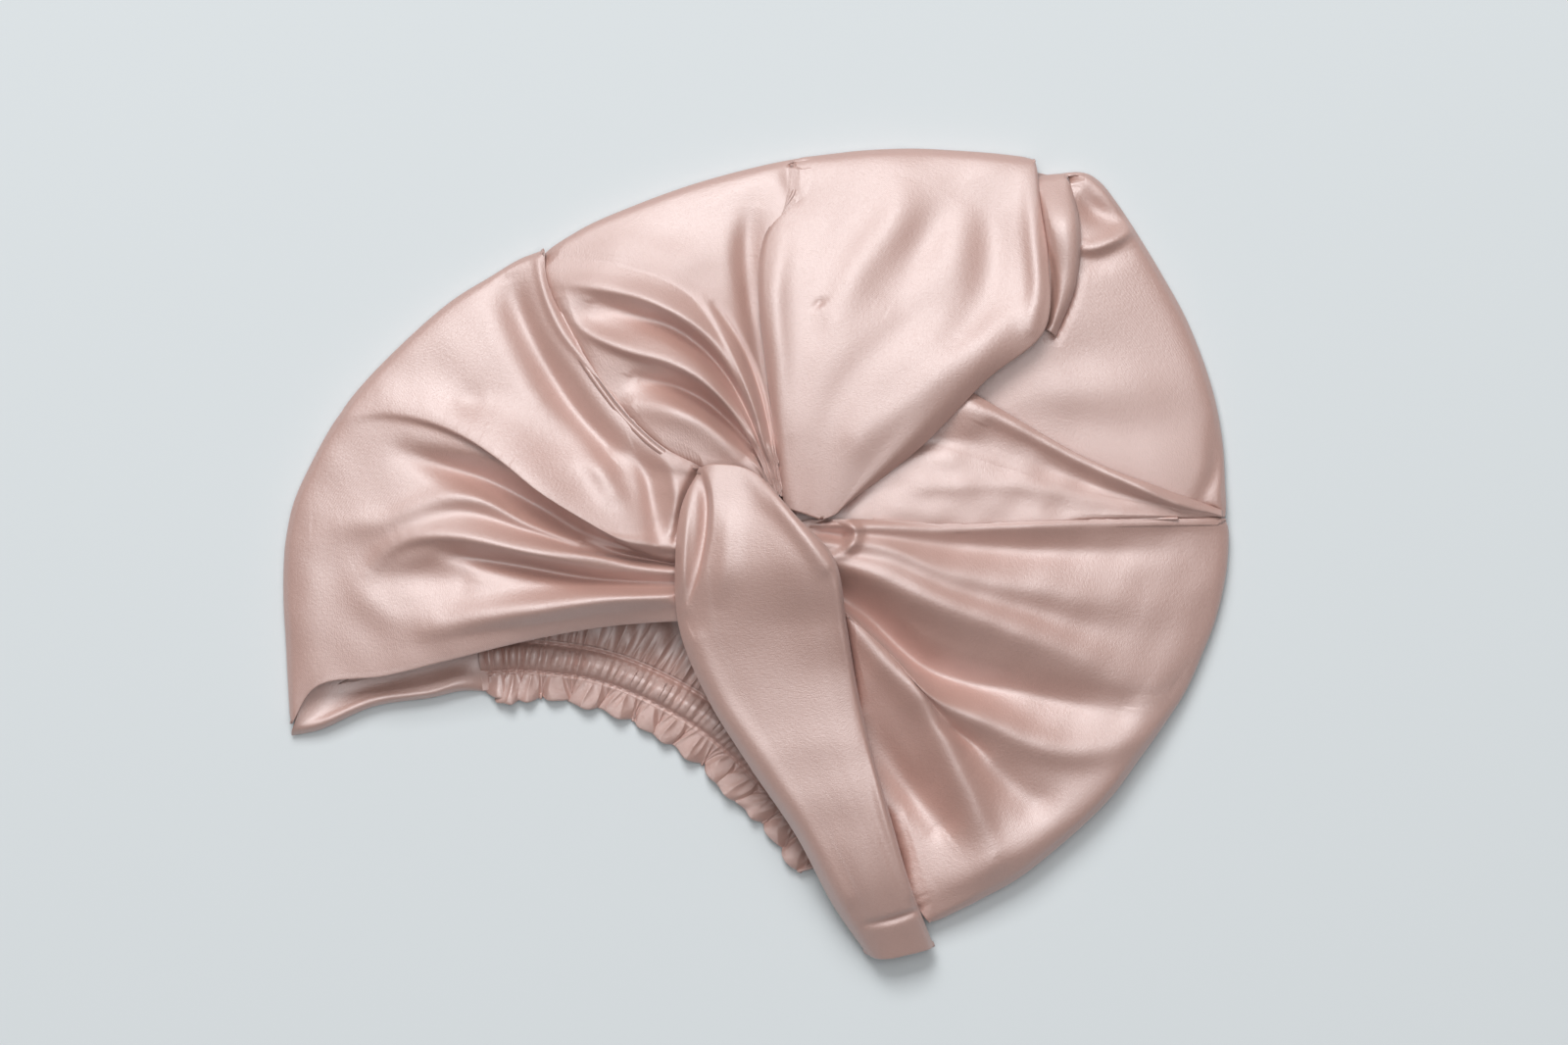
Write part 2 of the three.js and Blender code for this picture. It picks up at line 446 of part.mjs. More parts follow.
// Gathers inside the casing: their pleats die out towards a flat apron, which lies on the back lining and
// draws out over it when the band is stretched.
const APRON_BOTTOM = BACK_PLY + LINING_PLY + CLEARANCE * 2;
const gatherRows = [
  { offset: APRON_REACH, bottom: APRON_BOTTOM, pleat: 0 },
  { offset: GATHER_WIDTH, bottom: APRON_BOTTOM, pleat: 0 },
  { offset: GATHER_WIDTH * 0.75, bottom: APRON_BOTTOM, pleat: GATHER_RISE * 0.4 },
  { offset: GATHER_WIDTH * 0.5, bottom: 0, pleat: GATHER_RISE },
  { offset: 0, bottom: 0, pleat: GATHER_RISE },
];
const gathers = strip(
  bandLine,
  gatherRows.map(({ offset }) => -HALF_CASING - CLEARANCE - offset),
  RUCHE_COUNT * 2,
  (along, j) => {
    const pleat = Math.abs(Math.sin(along * RUCHE_COUNT * 0.5 * Math.PI)) * gatherRows[j].pleat;
    return { top: gatherRows[j].bottom + BACK_PLY + pleat, bottom: gatherRows[j].bottom };
  },
  GATHER_END_SHARES,
);

// A row of running stitches lies on the casing's seam: one thread that rises over each stitch.
function stitchRow(offset) {
  const points = [];
  for (let i = 0; i <= STITCH_COUNT * 2; i++) {
    const rise = i % 2 === 0 ? 0 : STITCH_RISE;
    const along = STITCH_END_SHARE + (1 - 2 * STITCH_END_SHARE) * (i / (STITCH_COUNT * 2));
    points.push(beside(bandLine, along, offset, STITCH_MIDDLE + rise));
  }
  return solid(cordGeometry(new THREE.CatmullRomCurve3(points, false, "centripetal"), THREAD / 2, 5, STITCH_COUNT * 2));
}

// Plain hems from the ends of the band to the corners of the mouth.
const hemOffsets = [-HEM_TAB_WIDTH / 2, 0, HEM_TAB_WIDTH / 2];
const hem = (px) => strip(planCurve(px), hemOffsets, 14, (_, j) => ({
  top: j === 1 ? HEM_TAB_HEIGHT : BACK_PLY, bottom: 0,
}));
const leftHem = hem(LEFT_HEM_PX);
const rightHem = hem(RIGHT_HEM_PX);

// A flat sheet of cloth inside an outline of plan points.
function sheet(points, bottom, ply) {
  const shape = new THREE.Shape();
  points.forEach((point, i) => (i === 0 ? shape.moveTo(point.x, point.y) : shape.lineTo(point.x, point.y)));
  shape.closePath();
  const geometry = new THREE.ExtrudeGeometry(shape, { depth: ply, bevelEnabled: false });
  return solid(geometry.translate(0, 0, bottom));
}

// The back's outline, drawn in by an inset: round the crown, then along the mouth behind the hems and the gathers.
function backOutline(inset) {
  const middle = place(...LINING_MIDDLE_PX);
  const behind = (curve, away, steps) => {
    const points = [];
    for (let i = 0; i <= steps; i++) points.push(beside(curve, i / steps, -away - inset));
    return points;
  };
  const behindHem = HEM_TAB_WIDTH / 2 + CLEARANCE;
  const mouth = [
    ...behind(planCurve(LEFT_HEM_PX), behindHem, 8),
    ...behind(bandLine, HALF_CASING + GATHER_WIDTH * 0.75 + CLEARANCE * 2, 16),
    ...behind(planCurve(RIGHT_HEM_PX), behindHem, 4),
  ];
  const crown = planCurve(OUTLINE_PX).getSpacedPoints(64).map((point) => {
    const inward = middle.clone().sub(point).setLength(inset);
    return point.add(inward);
  });
  return [...(inset > 0 ? crown.slice(1, -1) : crown), ...mouth.reverse()];
}
const backPanel = sheet(backOutline(0), 0, BACK_PLY);
const backLining = sheet(backOutline(LINING_INSET), BACK_PLY + CLEARANCE, LINING_PLY);

// Front lining: a low dome from the crown's seam over the hollow, which stands open at the mouth.
function frontLining() {
  const low = BACK_PLY + LINING_PLY + CLEARANCE * 2;
  const middle = place(...LINING_MIDDLE_PX, HOLLOW_CEILING);
  const crown = planCurve(OUTLINE_PX.slice(1, -1)).getSpacedPoints(44).map((end) => ({ end, open: 0 }));
  const mouth = planCurve([...FRONT_HEM_PX].reverse()).getSpacedPoints(14).map((end, i) => ({
    end, open: Math.min(1, (i + 1) / 2, (15 - i) / 2),
  }));
  const rim = [...crown, ...mouth];
  const rings = LINING_SLOPE_SHARES.map(([share, rise]) =>
    rim.map(({ end, open }) => {
      const way = middle.clone().sub(end).setZ(0);
      const inset = LINING_INSET + CLEARANCE;
      const point = end.clone().add(way.clone().setLength(inset + (way.length() - inset) * share));
      return point.setZ(low + (HOLLOW_CEILING - low) * Math.max(rise, open));
    }),
  );
  return solid(dome(rings, middle, LINING_PLY));
}

// A closed geometry from rings of points round a middle, with its thickness measured upwards.
function dome(rings, middle, ply) {
  const count = rings[0].length;
  const positions = [];
  for (const lift of [ply, 0]) {
    for (const ring of rings) for (const point of ring) positions.push(point.x, point.y, point.z + lift);
    positions.push(middle.x, middle.y, middle.z + lift);
  }
  const layer = rings.length * count + 1;
  const at = (side, ring, k) => side * layer + ring * count + (k % count);
  const index = [];
  for (let k = 0; k < count; k++) {
    for (let ring = 0; ring + 1 < rings.length; ring++) {
      const [a, b, c, d] = [at(0, ring, k), at(0, ring, k + 1), at(0, ring + 1, k + 1), at(0, ring + 1, k)];
      index.push(a, b, c, a, c, d, c + layer, b + layer, a + layer, d + layer, c + layer, a + layer);
    }
    const last = rings.length - 1;
    index.push(at(0, last, k), at(0, last, k + 1), layer - 1);
    index.push(2 * layer - 1, at(1, last, k + 1), at(1, last, k));
    index.push(at(0, 0, k), at(1, 0, k), at(1, 0, k + 1), at(0, 0, k), at(1, 0, k + 1), at(0, 0, k + 1));
  }
  const geometry = new THREE.BufferGeometry();
  geometry.setAttribute("position", new THREE.Float32BufferAttribute(positions, 3));
  geometry.setIndex(index);
  return geometry;
}

// What lies over each piece is cut from it, with room to spare.
const coreRoom = knotCore(CLEARANCE);
const seamRooms = [leftSeam.room, rightSeam.room];
const everyPanel = [wrap, lobe, flap, rightFront, leftFront, crownPleat, crownLeft, crownRight];
const under = (piece, covers) => cutBy(piece.body, [...covers.map((cover) => cover.above), ...seamRooms, coreRoom]);

const group = new THREE.Group();
group.name = "twist_front_hair_bonnet";
group.add(
  meshOf("back_panel", backPanel, SILK),
  meshOf("back_lining", cutBy(backLining, everyPanel.map((piece) => piece.above)), LINING_SILK),
  meshOf("front_lining", cutBy(frontLining(), everyPanel.map((piece) => piece.above)), LINING_SILK),
  meshOf("left_front_panel", under(leftFront, [wrap]), SILK),
  meshOf("crown_left_panel", under(crownLeft, [wrap, leftFront, lobe]), SILK),
  meshOf("crown_centre_pleat", under(lobe, [wrap, rightFront]), SILK),
  meshOf("crown_return_fold", under(flap, [lobe]), SILK),
  meshOf("crown_right_panel", under(crownRight, [lobe, flap, crownPleat, rightFront]), SILK),
  meshOf("crown_right_pleat", under(crownPleat, [wrap, lobe, rightFront]), SILK),
  meshOf("right_front_panel", under(rightFront, [wrap]), SILK),
  meshOf("twist_wrap", wrap.body, SILK),
  meshOf("knot_core", knotCore(0), SILK),
  meshOf("left_crown_seam", leftSeam.body, SILK),
  meshOf("right_crown_seam", rightSeam.body, SILK),
  meshOf("nape_casing_top", casingTop, SILK),
  meshOf("nape_elastic", elastic, ELASTIC_KNIT),
  meshOf("nape_casing_under", casingUnder, SILK),
  meshOf("nape_frill", frill, SILK),
  meshOf("upper_stitch_row", stitchRow(-STITCH_OFFSET), THREAD_COTTON),
  meshOf("lower_stitch_row", stitchRow(STITCH_OFFSET), THREAD_COTTON),
  meshOf("nape_gathers", gathers, SILK),
  meshOf("nape_left_hem", leftHem, SILK),
  meshOf("nape_right_hem", rightHem, SILK),
);

export default group;
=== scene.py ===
"""A twist-front hair bonnet in rose satin, lying flat on a pale table under soft studio light."""

import math

import bmesh
import bpy
import numpy as np
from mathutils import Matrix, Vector
from mathutils.bvhtree import BVHTree


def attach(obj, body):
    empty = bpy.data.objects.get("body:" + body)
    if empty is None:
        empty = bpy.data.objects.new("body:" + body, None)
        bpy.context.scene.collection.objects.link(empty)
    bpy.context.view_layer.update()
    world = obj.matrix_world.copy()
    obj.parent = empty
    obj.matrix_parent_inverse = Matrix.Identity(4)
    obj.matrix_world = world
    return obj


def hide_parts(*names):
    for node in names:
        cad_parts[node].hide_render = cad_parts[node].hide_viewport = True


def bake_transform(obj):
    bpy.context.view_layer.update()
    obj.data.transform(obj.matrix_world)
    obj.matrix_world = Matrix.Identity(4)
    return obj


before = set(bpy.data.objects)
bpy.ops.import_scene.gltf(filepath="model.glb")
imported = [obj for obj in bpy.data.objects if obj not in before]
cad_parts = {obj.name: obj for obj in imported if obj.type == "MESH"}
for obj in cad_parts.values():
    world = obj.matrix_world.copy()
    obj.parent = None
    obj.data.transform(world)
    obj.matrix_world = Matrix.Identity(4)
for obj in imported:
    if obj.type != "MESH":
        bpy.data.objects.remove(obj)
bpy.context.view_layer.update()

# The plan is drafted on small squares, and heights are shares of the knot's height.
MM = 0.001
TINY = 1e-12
WIDTH = 308 * MM
KNOT_HEIGHT = 45 * MM
SQUARES_ACROSS = 963
MIDDLE_ACROSS_PX = 771.5
MIDDLE_DOWN_PX = 564.5
SQUARE = WIDTH / SQUARES_ACROSS
PERCENT = KNOT_HEIGHT / 100
CURVE_STEPS = 24
STROKE_POINTS = 28

# Cloth, and how one lies under another
CLOTH = 0.45 * MM
TABLE_GAP = 0.03 * MM
TUCK_GAP = 0.5 * MM
TUCK_SPREAD = 7
TUCK_EASE_SHARE = 0.7
RAYS_BELOW = -10 * MM
RAYS_ABOVE = 1000 * MM

# Rolled edges
FOLD_RADIUS = 0.6 * MM
LOBE_RADIUS = 0.9 * MM
SEAM_RADIUS = 0.25 * MM
ROLL_TUCK = 2.5 * MM
ROLL_TAPER = 5 * MM
ROLL_STEPS = 8
ROLL_PULLED = 8
ROLL_SLOPES = (-0.4, 1.2)
ROLL_END_SHARE = 0.05
OUTLINE_RADIUS = 4.6 * MM
OUTLINE_WIDTH_SHARE = 0.5
OUTLINE_TURN = 172
SEAM_PROFILE_SHARES = [(0, 0.4), (1, 0.4)]
LOBE_PROFILE_SHARES = [(0, 0.05), (0.2, 0.05), (0.4, 1), (1, 1)]
WRAP_RADIUS = 0.8 * MM
WRAP_FALL = 6 * MM
WRAP_FALL_WIDTH_SHARE = 0.3
WRAP_FALL_SHARES = [
    (0, 0.13), (0.1, 0.2), (0.16, 0.5), (0.2, 0.9), (0.28, 1), (0.32, 0.6), (0.37, 0.42), (0.456, 0.45),
    (0.52, 0.8), (0.587, 1.25), (0.66, 1.2), (0.72, 0.85), (0.8, 0.5), (0.863, 0.36), (0.93, 0.16), (1, 0.13),
]

# The lobe's corner, where it goes on into the panel beside it
MELD_LENGTH_SHARE = 0.46
MELD_WIDTH_SHARE = 0.28
MELD_DIP = 0.55 * MM
MELD_COVER = 2.5 * MELD_DIP

# Rim of the bonnet
RIM_HEIGHT = 6.8 * MM
RIM_SLOPE = 0.2
LOBE_RIM_SLOPE = 0.27
FLAP_RIM_SLOPE = 0.8
RIM_SOFTNESS = 1.9 * MM
RIM_FADE = 8 * MM
RIM_ROLL_TOP = 13 * MM
RIM_ROLL_FADE = 2 * MM
RIM_ROLL_LEAST_SHARE = 0.12
HEM_GAP = 0.35 * MM
HEM_REACH = 1.8 * MM
BACK_BEHIND = 7.3 * MM

# Faint waves in each cloth: seed, wavelength and height
RIPPLE_COUNT = 9
RIPPLE_SIZE_SHARES = (0.6, 1.8)
RIPPLES = {
    "wrap": (3, 22 * MM, 0.12 * MM),
    "right_front": (12, 20 * MM, 0.14 * MM),
    "left_front": (22, 20 * MM, 0.14 * MM),
    "lobe": (32, 26 * MM, 0.2 * MM),
    "crown_left": (42, 20 * MM, 0.14 * MM),
    "crown_pleat": (52, 16 * MM, 0.22 * MM),
    "crown_right": (62, 22 * MM, 0.16 * MM),
    "back": (71, 30 * MM, 0.04 * MM),
    "back_lining": (72, 24 * MM, 0.08 * MM),
    "front_lining": (73, 26 * MM, 0.18 * MM),
    "hem": (81, 16 * MM, 0.12 * MM),
}

# Fine pleats beside the knot: seed, count and height. They start a share of the way before it.
GATHERS = {
    "right_front": (11, 12, 0.2 * MM),
    "left_front": (21, 12, 0.12 * MM),
    "crown_left": (41, 21, 1.1 * MM),
}
GATHER_REACH_SHARE = 0.4
GATHER_WIDTH_SHARES = (0.6, 1.5)
GATHER_DEPTH_SHARES = (0.35, 1.0)

# Seams
WELT_RADIUS = 0.5 * MM
WELT_CLOTH = 0.3 * MM
WELT_LIFT = -1.7 * MM
WELT_WRAP = 0.62 * math.pi
WELT_POINTS = 160
WELT_ROWS = 13
WELT_BEAD_SHARE = 0.05
WELT_BEAD_TURN = 0.9

# Back, linings, and the hollow for the head
BACK_LEVEL = 0.75 * MM
BACK_LINING_LEVEL = 1.6 * MM
HOLLOW_CEILING = 8.4 * MM
LINING_LOW = 2.6 * MM
LINING_INSET = 5 * MM
LINING_MIDDLE_PX = (745, 545)
INWARD_SHARES = [(0, 0.3, 24), (0.32, 0.999, 40)]
LINING_SLOPE_SHARES = [(0, 0), (0.06, 0.42), (0.13, 0.76), (0.22, 0.95), (0.36, 1), (1, 1)]
BACK_CROWN_POINTS = 260
BACK_MOUTH_POINTS = (30, 60, 12)
LINING_CROWN_POINTS = 230
MOUTH_POINTS = 90
MOUTH_EASE_POINTS = 14

# Knot core
CORE_WIDTH = 31 * MM
CORE_LENGTH = 45 * MM
CORE_HEIGHT = 20.5 * MM
CORE_BOTTOM = 11.9 * MM
CORE_TURN = 0.25
CORE_PX = (775, 580)
CORE_POLE = 0.02
CORE_GRID = (70, 110)
# Folds that wind round it: depth, count, twist, and how narrow they are
CORE_FOLD_SHARES = [(0.07, 5, 3.2, 2), (0.025, 13, 5, 1)]

# Nape band
BAND_SEED = 5
BAND_POINTS = 900
BAND_SKEW_SHARE = 0.35
BAND_DEPTH_SHARES = (0.45, 1.0)
SMALL_PLEATS = (1.9 * MM, 3.3 * MM)
LARGE_PLEATS = (5 * MM, 14 * MM)
LOOSE_PLEATS = (6.5 * MM, 12 * MM)
CASING_HALF = 5.7 * MM
CASING_GRID = (900, 40)
FRILL_GRID = (900, 34)
APRON_GRID = (760, 60)
CASING_UNDER_GRID = (500, 12)
ELASTIC_GRID = (500, 16)
CASING_UNDER_LEVEL = 0.6 * MM
CASING_UNDER_WAVE = 0.12 * MM
ELASTIC_HALF = 3.5 * MM
ELASTIC_CLOTH = 0.8 * MM
ELASTIC_LEVEL = 1.95 * MM
ELASTIC_WAVE = 0.06 * MM
KNIT_PITCH = 0.9 * MM
STITCH_OFFSET = 4.5 * MM
STITCH_PINCH = 0.9 * MM
STITCH_COUNT = 46
STITCH_POINTS = 700
STITCH_ENDS_SHARES = (0.01, 0.99)
STITCH_LENGTH = 2.1 * MM
STITCH_LIFT = 0.45 * MM
THREAD = 0.42 * MM
BAND_LOW = 2.9 * MM
CHANNEL_PUFF = 1.7 * MM
CHANNEL_PLEAT = 1.8 * MM
CHANNEL_PLEAT_SHARES = [
    (0, 1), (0.26, 1), (0.34, 0.4), (0.44, 0.35), (0.5, 0.7), (0.56, 0.4), (0.64, 1), (1, 1),
]
GATHER_FADE = 24 * MM
GATHER_PUFF = 2.9 * MM
APRON_LOW = 2.5 * MM
APRON_REACH = 40 * MM
FRILL_WIDTH = 8.4 * MM
FRILL_LOW = 0.6 * MM
FRILL_RISE = 5.4 * MM
FRILL_FOLD = 3.4 * MM
FRILL_WAVE = 3.0 * MM
FRILL_SPREAD = 0.7 * MM
FRILL_CURL = 0.4 * MM
FRILL_CURL_RISE = 0.5 * MM
FRILL_BEGIN = 9 * MM
FRILL_DROOP_SHARE = 0.25
FRILL_EDGE_RADIUS = 0.4 * MM
FRILL_EDGE_TUCK = 0.8 * MM
FRILL_EDGE_PULLED = 3

# Hems of the mouth: where each leaves the bonnet, and where it meets the band
HEM_LEVEL = 2 * MM
HEM_GRID = (150, 70)
LEFT_HEM_ENDS_PX = [(297, 748), (492, 700)]
RIGHT_HEM_ENDS_PX = [(936, 944), (860, 878)]

# Camera and picture
PICTURE_ACROSS_PX = 1600
PICTURE_DOWN_PX = 1066
LENS_MM = 180
SENSOR_MM = 36
SIGHT = 20.0

# Table and light
TABLE_SIZE = 8.0
TABLE_COLOUR = (0.70, 0.743, 0.763)
KEY_PLACE = (-0.5, 2.3, 2.7)
KEY_SIZE = 1.7
KEY_POWER = 92
TOP_PLACE = (0.1, 0.15, 3.3)
TOP_SIZE = 2.0
TOP_POWER = 39
WORLD_STRENGTH = 0.14

# Weave and colours, light and deep. A scale is the number of grains in a metre.
WARP_PITCH = 0.42 * MM
WEFT_PITCH = 0.55 * MM
WEAVE_STRENGTH = 0.8
WEAVE_DEPTH = 0.17 * MM
FLOAT_SCALES = (900.0, 2600.0)
SPECKLE_SCALE = 950.0
DYE_SCALE = 28.0
FUZZ_SCALE = 2600.0
FUZZ_DEPTH = 0.08 * MM
TABLE_GRAIN_SCALE = 12.0
FLOAT_BUMP = 0.6
SPECKLE_BUMP = 0.8
WEAVE_BUMP = 0.12
DYE_TINT = 0.5
SPECKLE_TINT = 0.7
FLOAT_TINT = 0.6
TINT_LESS = 0.4
FLOAT_ROUGHNESS = 0.07
SPECKLE_ROUGHNESS = 0.05
ROUGHNESS_LESS = 0.06
SATIN_IOR = 3.3
SHEEN_TINT = (0.97, 0.98, 1.0)
ROSE_ROUGHNESS = 0.52
LINING_ROUGHNESS = 0.5
LINING_SHINE = 0.1
ROSE_COLOURS = ((0.58, 0.325, 0.265), (0.47, 0.245, 0.19))
LINING_COLOURS = ((0.56, 0.34, 0.29), (0.48, 0.28, 0.23))
THREAD_COLOURS = ((0.66, 0.44, 0.39), (0.5, 0.32, 0.28))
ELASTIC_COLOURS = ((0.8, 0.76, 0.72), (0.62, 0.58, 0.54))

# Outlines on the drafting squares
OUTLINE_PX = [
    (297, 748), (292, 690), (290, 600), (294, 540), (308, 490), (345, 425), (400, 360), (478, 296),
    (555, 253), (640, 213), (720, 184), (806, 163), (870, 154), (925, 152), (990, 154), (1057, 163),
    (1100, 176), (1140, 208), (1185, 280), (1220, 345), (1242, 420), (1250, 500), (1253, 550), (1240, 630),
    (1212, 700), (1165, 770), (1105, 845), (1040, 894), (960, 938), (932, 942),
]
BAND_PX = [
    (490, 671), (525, 669), (565, 672), (600, 677), (630, 685), (660, 697), (690, 712), (718, 729),
    (745, 750), (775, 778), (805, 808), (832, 840), (856, 872),
]
LEFT_HEM_PX = [
    (306, 742), (330, 734), (360, 722), (390, 709), (420, 700), (450, 697), (476, 690),
]
RIGHT_HEM_PX = [
    (868, 888), (885, 906), (902, 921), (922, 936),
]
FRONT_HEM_PX = [
    (330, 704), (395, 689), (460, 673), (540, 653), (625, 638), (700, 640), (750, 705), (800, 780),
    (850, 856), (905, 920),
]

# Fold lines of the panels, each from the outline to the knot: squares across, squares down, percent of the
# knot's height
LEFT_FRONT_FOLD_SHARES = [
    [(556, 252, 9), (560, 290, 24), (583, 338, 33), (612, 385, 40), (645, 427, 47), (680, 458, 55),
     (716, 476, 58)],
    [(549, 257, 10), (553, 293, 27), (576, 343, 36), (605, 390, 43), (638, 433, 50), (674, 464, 58),
     (716, 482, 60)],
    [(528, 266, 9), (533, 305, 22), (553, 352, 29), (583, 402, 33), (620, 448, 40), (662, 478, 50),
     (714, 490, 57)],
    [(500, 283, 9), (508, 325, 28), (535, 375, 36), (572, 425, 38), (612, 470, 44), (658, 500, 52),
     (712, 505, 56)],
    [(460, 308, 9), (472, 345, 33), (505, 395, 40), (548, 440, 44), (595, 485, 50), (650, 520, 54),
     (712, 520, 56)],
    [(415, 347, 9), (430, 380, 35), (468, 415, 43), (515, 450, 50), (572, 495, 55), (640, 535, 56),
     (712, 535, 56)],
    [(372, 390, 9), (392, 416, 34), (440, 430, 50), (503, 456, 60), (564, 497, 62), (628, 540, 60),
     (712, 556, 56)],
    [(345, 425, 9), (362, 447, 28), (430, 466, 33), (492, 486, 25), (550, 516, 23), (610, 547, 34),
     (712, 566, 54)],
    [(322, 465, 9), (345, 485, 28), (420, 497, 36), (487, 508, 42), (540, 533, 41), (615, 559, 42),
     (712, 570, 48)],
    [(303, 505, 9), (335, 512, 29), (400, 522, 37), (470, 521, 40), (540, 541, 42), (615, 564, 44),
     (712, 574, 48)],
    [(293, 545, 9), (330, 556, 30), (392, 562, 38), (460, 545, 52), (540, 556, 56), (620, 569, 54),
     (712, 580, 54)],
    [(290, 580, 9), (330, 585, 30), (395, 590, 34), (470, 572, 38), (540, 575, 38), (620, 585, 40),
     (712, 590, 44)],
    [(290, 615, 9), (325, 617, 30), (390, 615, 36), (470, 605, 40), (545, 597, 42), (620, 596, 46),
     (712, 598, 48)],
    [(292, 650, 9), (325, 648, 30), (390, 645, 36), (470, 633, 46), (545, 622, 52), (620, 611, 56),
     (712, 606, 56)],
    [(294, 690, 9), (322, 675, 27), (390, 668, 34), (465, 652, 40), (545, 638, 44), (625, 625, 48),
     (712, 620, 50)],
    [(297, 742, 9), (325, 700, 24), (395, 689, 32), (460, 673, 35), (540, 653, 38), (625, 638, 42),
     (712, 632, 46)],
]
CROWN_LEFT_FOLD_SHARES = [
    [(680, 486, 52), (708, 487, 53), (735, 492, 54), (750, 498, 55), (766, 505, 56), (780, 510, 56)],
    [(672, 468, 53), (704, 466, 56), (735, 470, 57), (750, 476, 58), (766, 486, 58), (780, 496, 57)],
    [(652, 452, 50), (690, 430, 56), (720, 437, 59), (750, 455, 60), (776, 480, 60), (782, 499, 57)],
    [(616, 414, 41), (668, 392, 42), (705, 396, 38), (738, 420, 38), (766, 452, 46), (786, 500, 55)],
    [(588, 374, 36), (650, 365, 46), (690, 370, 52), (730, 397, 56), (762, 440, 58), (789, 502, 57)],
    [(574, 348, 33), (640, 350, 46), (685, 357, 52), (728, 383, 55), (765, 430, 57), (791, 503, 57)],
    [(562, 324, 29), (625, 326, 34), (680, 336, 38), (728, 368, 42), (768, 425, 50), (793, 504, 56)],
    [(553, 304, 26), (620, 297, 38), (680, 312, 50), (728, 350, 54), (770, 415, 56), (795, 505, 57)],
    [(549, 268, 16), (620, 272, 36), (690, 295, 46), (738, 340, 48), (774, 405, 53), (797, 506, 57)],
    [(590, 236, 9), (640, 250, 33), (705, 285, 46), (748, 330, 50), (779, 400, 55), (799, 507, 57)],
    [(650, 209, 9), (680, 235, 33), (725, 270, 46), (757, 320, 48), (782, 395, 53), (801, 507, 57)],
    [(715, 186, 9), (735, 215, 32), (752, 255, 40), (768, 310, 42), (785, 390, 50), (803, 507, 56)],
    [(775, 170, 9), (780, 200, 32), (772, 245, 34), (778, 310, 37), (789, 390, 46), (805, 506, 55)],
    [(815, 162, 9), (812, 200, 32), (798, 250, 35), (794, 310, 37), (797, 390, 44), (808, 505, 54)],
    [(852, 157, 9), (850, 195, 33), (826, 250, 36), (808, 310, 38), (803, 390, 44), (811, 504, 54)],
    [(892, 153, 9), (890, 190, 34), (862, 250, 37), (828, 310, 38), (812, 390, 44), (815, 503, 54)],
]
CROWN_LOBE_FOLD_SHARES = [
    [(806, 163, 9), (806, 198, 27), (780, 243, 35), (774, 300, 42), (781, 370, 47), (790, 440, 53),
     (800, 520, 56)],
    [(818, 161, 9), (824, 192, 35), (788, 238, 46), (782, 300, 52), (788, 370, 54), (796, 440, 58),
     (805, 520, 58)],
    [(845, 158, 9), (845, 190, 36), (815, 235, 53), (800, 300, 58), (803, 370, 58), (806, 440, 60),
     (812, 522, 60)],
    [(880, 154, 9), (880, 185, 36), (862, 240, 56), (846, 310, 62), (836, 380, 62), (826, 450, 62),
     (822, 525, 60)],
    [(930, 152, 9), (925, 185, 36), (912, 240, 56), (892, 310, 62), (872, 380, 62), (850, 450, 62),
     (830, 528, 60)],
    [(975, 154, 9), (968, 188, 36), (955, 245, 54), (935, 315, 60), (905, 385, 62), (872, 455, 62),
     (838, 530, 59)],
    [(1015, 157, 9), (1010, 190, 36), (1000, 250, 52), (982, 315, 58), (950, 380, 60), (905, 445, 60),
     (848, 527, 58)],
    [(1048, 161, 9), (1046, 200, 38), (1042, 255, 54), (1030, 320, 58), (990, 378, 58), (930, 447, 58),
     (855, 523, 56)],
    [(1057, 163, 9), (1060, 205, 34), (1068, 265, 46), (1064, 338, 49), (1006, 388, 49), (937, 458, 49),
     (860, 517, 49)],
]
CROWN_FLAP_FOLD_SHARES = [
    [(1048, 181, 9), (1048, 230, 33), (1052, 280, 34), (1056, 335, 33)],
    [(1058, 180, 11), (1063, 230, 37), (1068, 280, 36), (1062, 336, 35)],
    [(1066, 179, 14), (1074, 230, 41), (1077, 280, 40), (1066, 338, 38)],
    [(1075, 178, 15), (1086, 230, 42), (1086, 285, 41), (1070, 340, 39)],
    [(1083, 177, 13), (1096, 232, 39), (1094, 288, 38), (1073, 342, 36)],
    [(1089, 178, 9), (1101, 235, 29), (1097, 290, 29), (1076, 345, 29)],
]
CROWN_RIGHT_FOLD_SHARES = [
    [(1068, 180, 9), (1072, 200, 23), (1062, 225, 26), (1040, 262, 28), (1000, 322, 30)],
    [(1085, 177, 9), (1087, 195, 25), (1072, 220, 28), (1045, 261, 29), (1000, 326, 30)],
    [(1100, 176, 9), (1098, 192, 25), (1080, 215, 29), (1050, 260, 30), (1000, 330, 31)],
    [(1122, 186, 9), (1112, 205, 27), (1090, 235, 30), (1050, 290, 31), (985, 370, 31)],
    [(1142, 211, 9), (1130, 228, 28), (1100, 252, 31), (1050, 310, 31), (975, 395, 31)],
    [(1157, 234, 9), (1135, 247, 30), (1100, 266, 31), (1045, 325, 31), (965, 410, 31)],
    [(1185, 280, 9), (1160, 290, 29), (1115, 310, 32), (1050, 350, 32), (950, 425, 31)],
    [(1212, 330, 9), (1185, 335, 29), (1130, 350, 31), (1055, 380, 31), (945, 435, 31)],
    [(1236, 395, 9), (1205, 395, 30), (1140, 400, 33), (1060, 405, 32), (945, 445, 31)],
    [(1247, 450, 9), (1215, 445, 29), (1145, 440, 31), (1060, 430, 31), (945, 455, 31)],
    [(1250, 500, 9), (1220, 492, 29), (1150, 478, 31), (1060, 455, 31), (945, 465, 31)],
    [(1252, 528, 9), (1225, 525, 27), (1150, 510, 30), (1060, 485, 30), (945, 480, 30)],
]
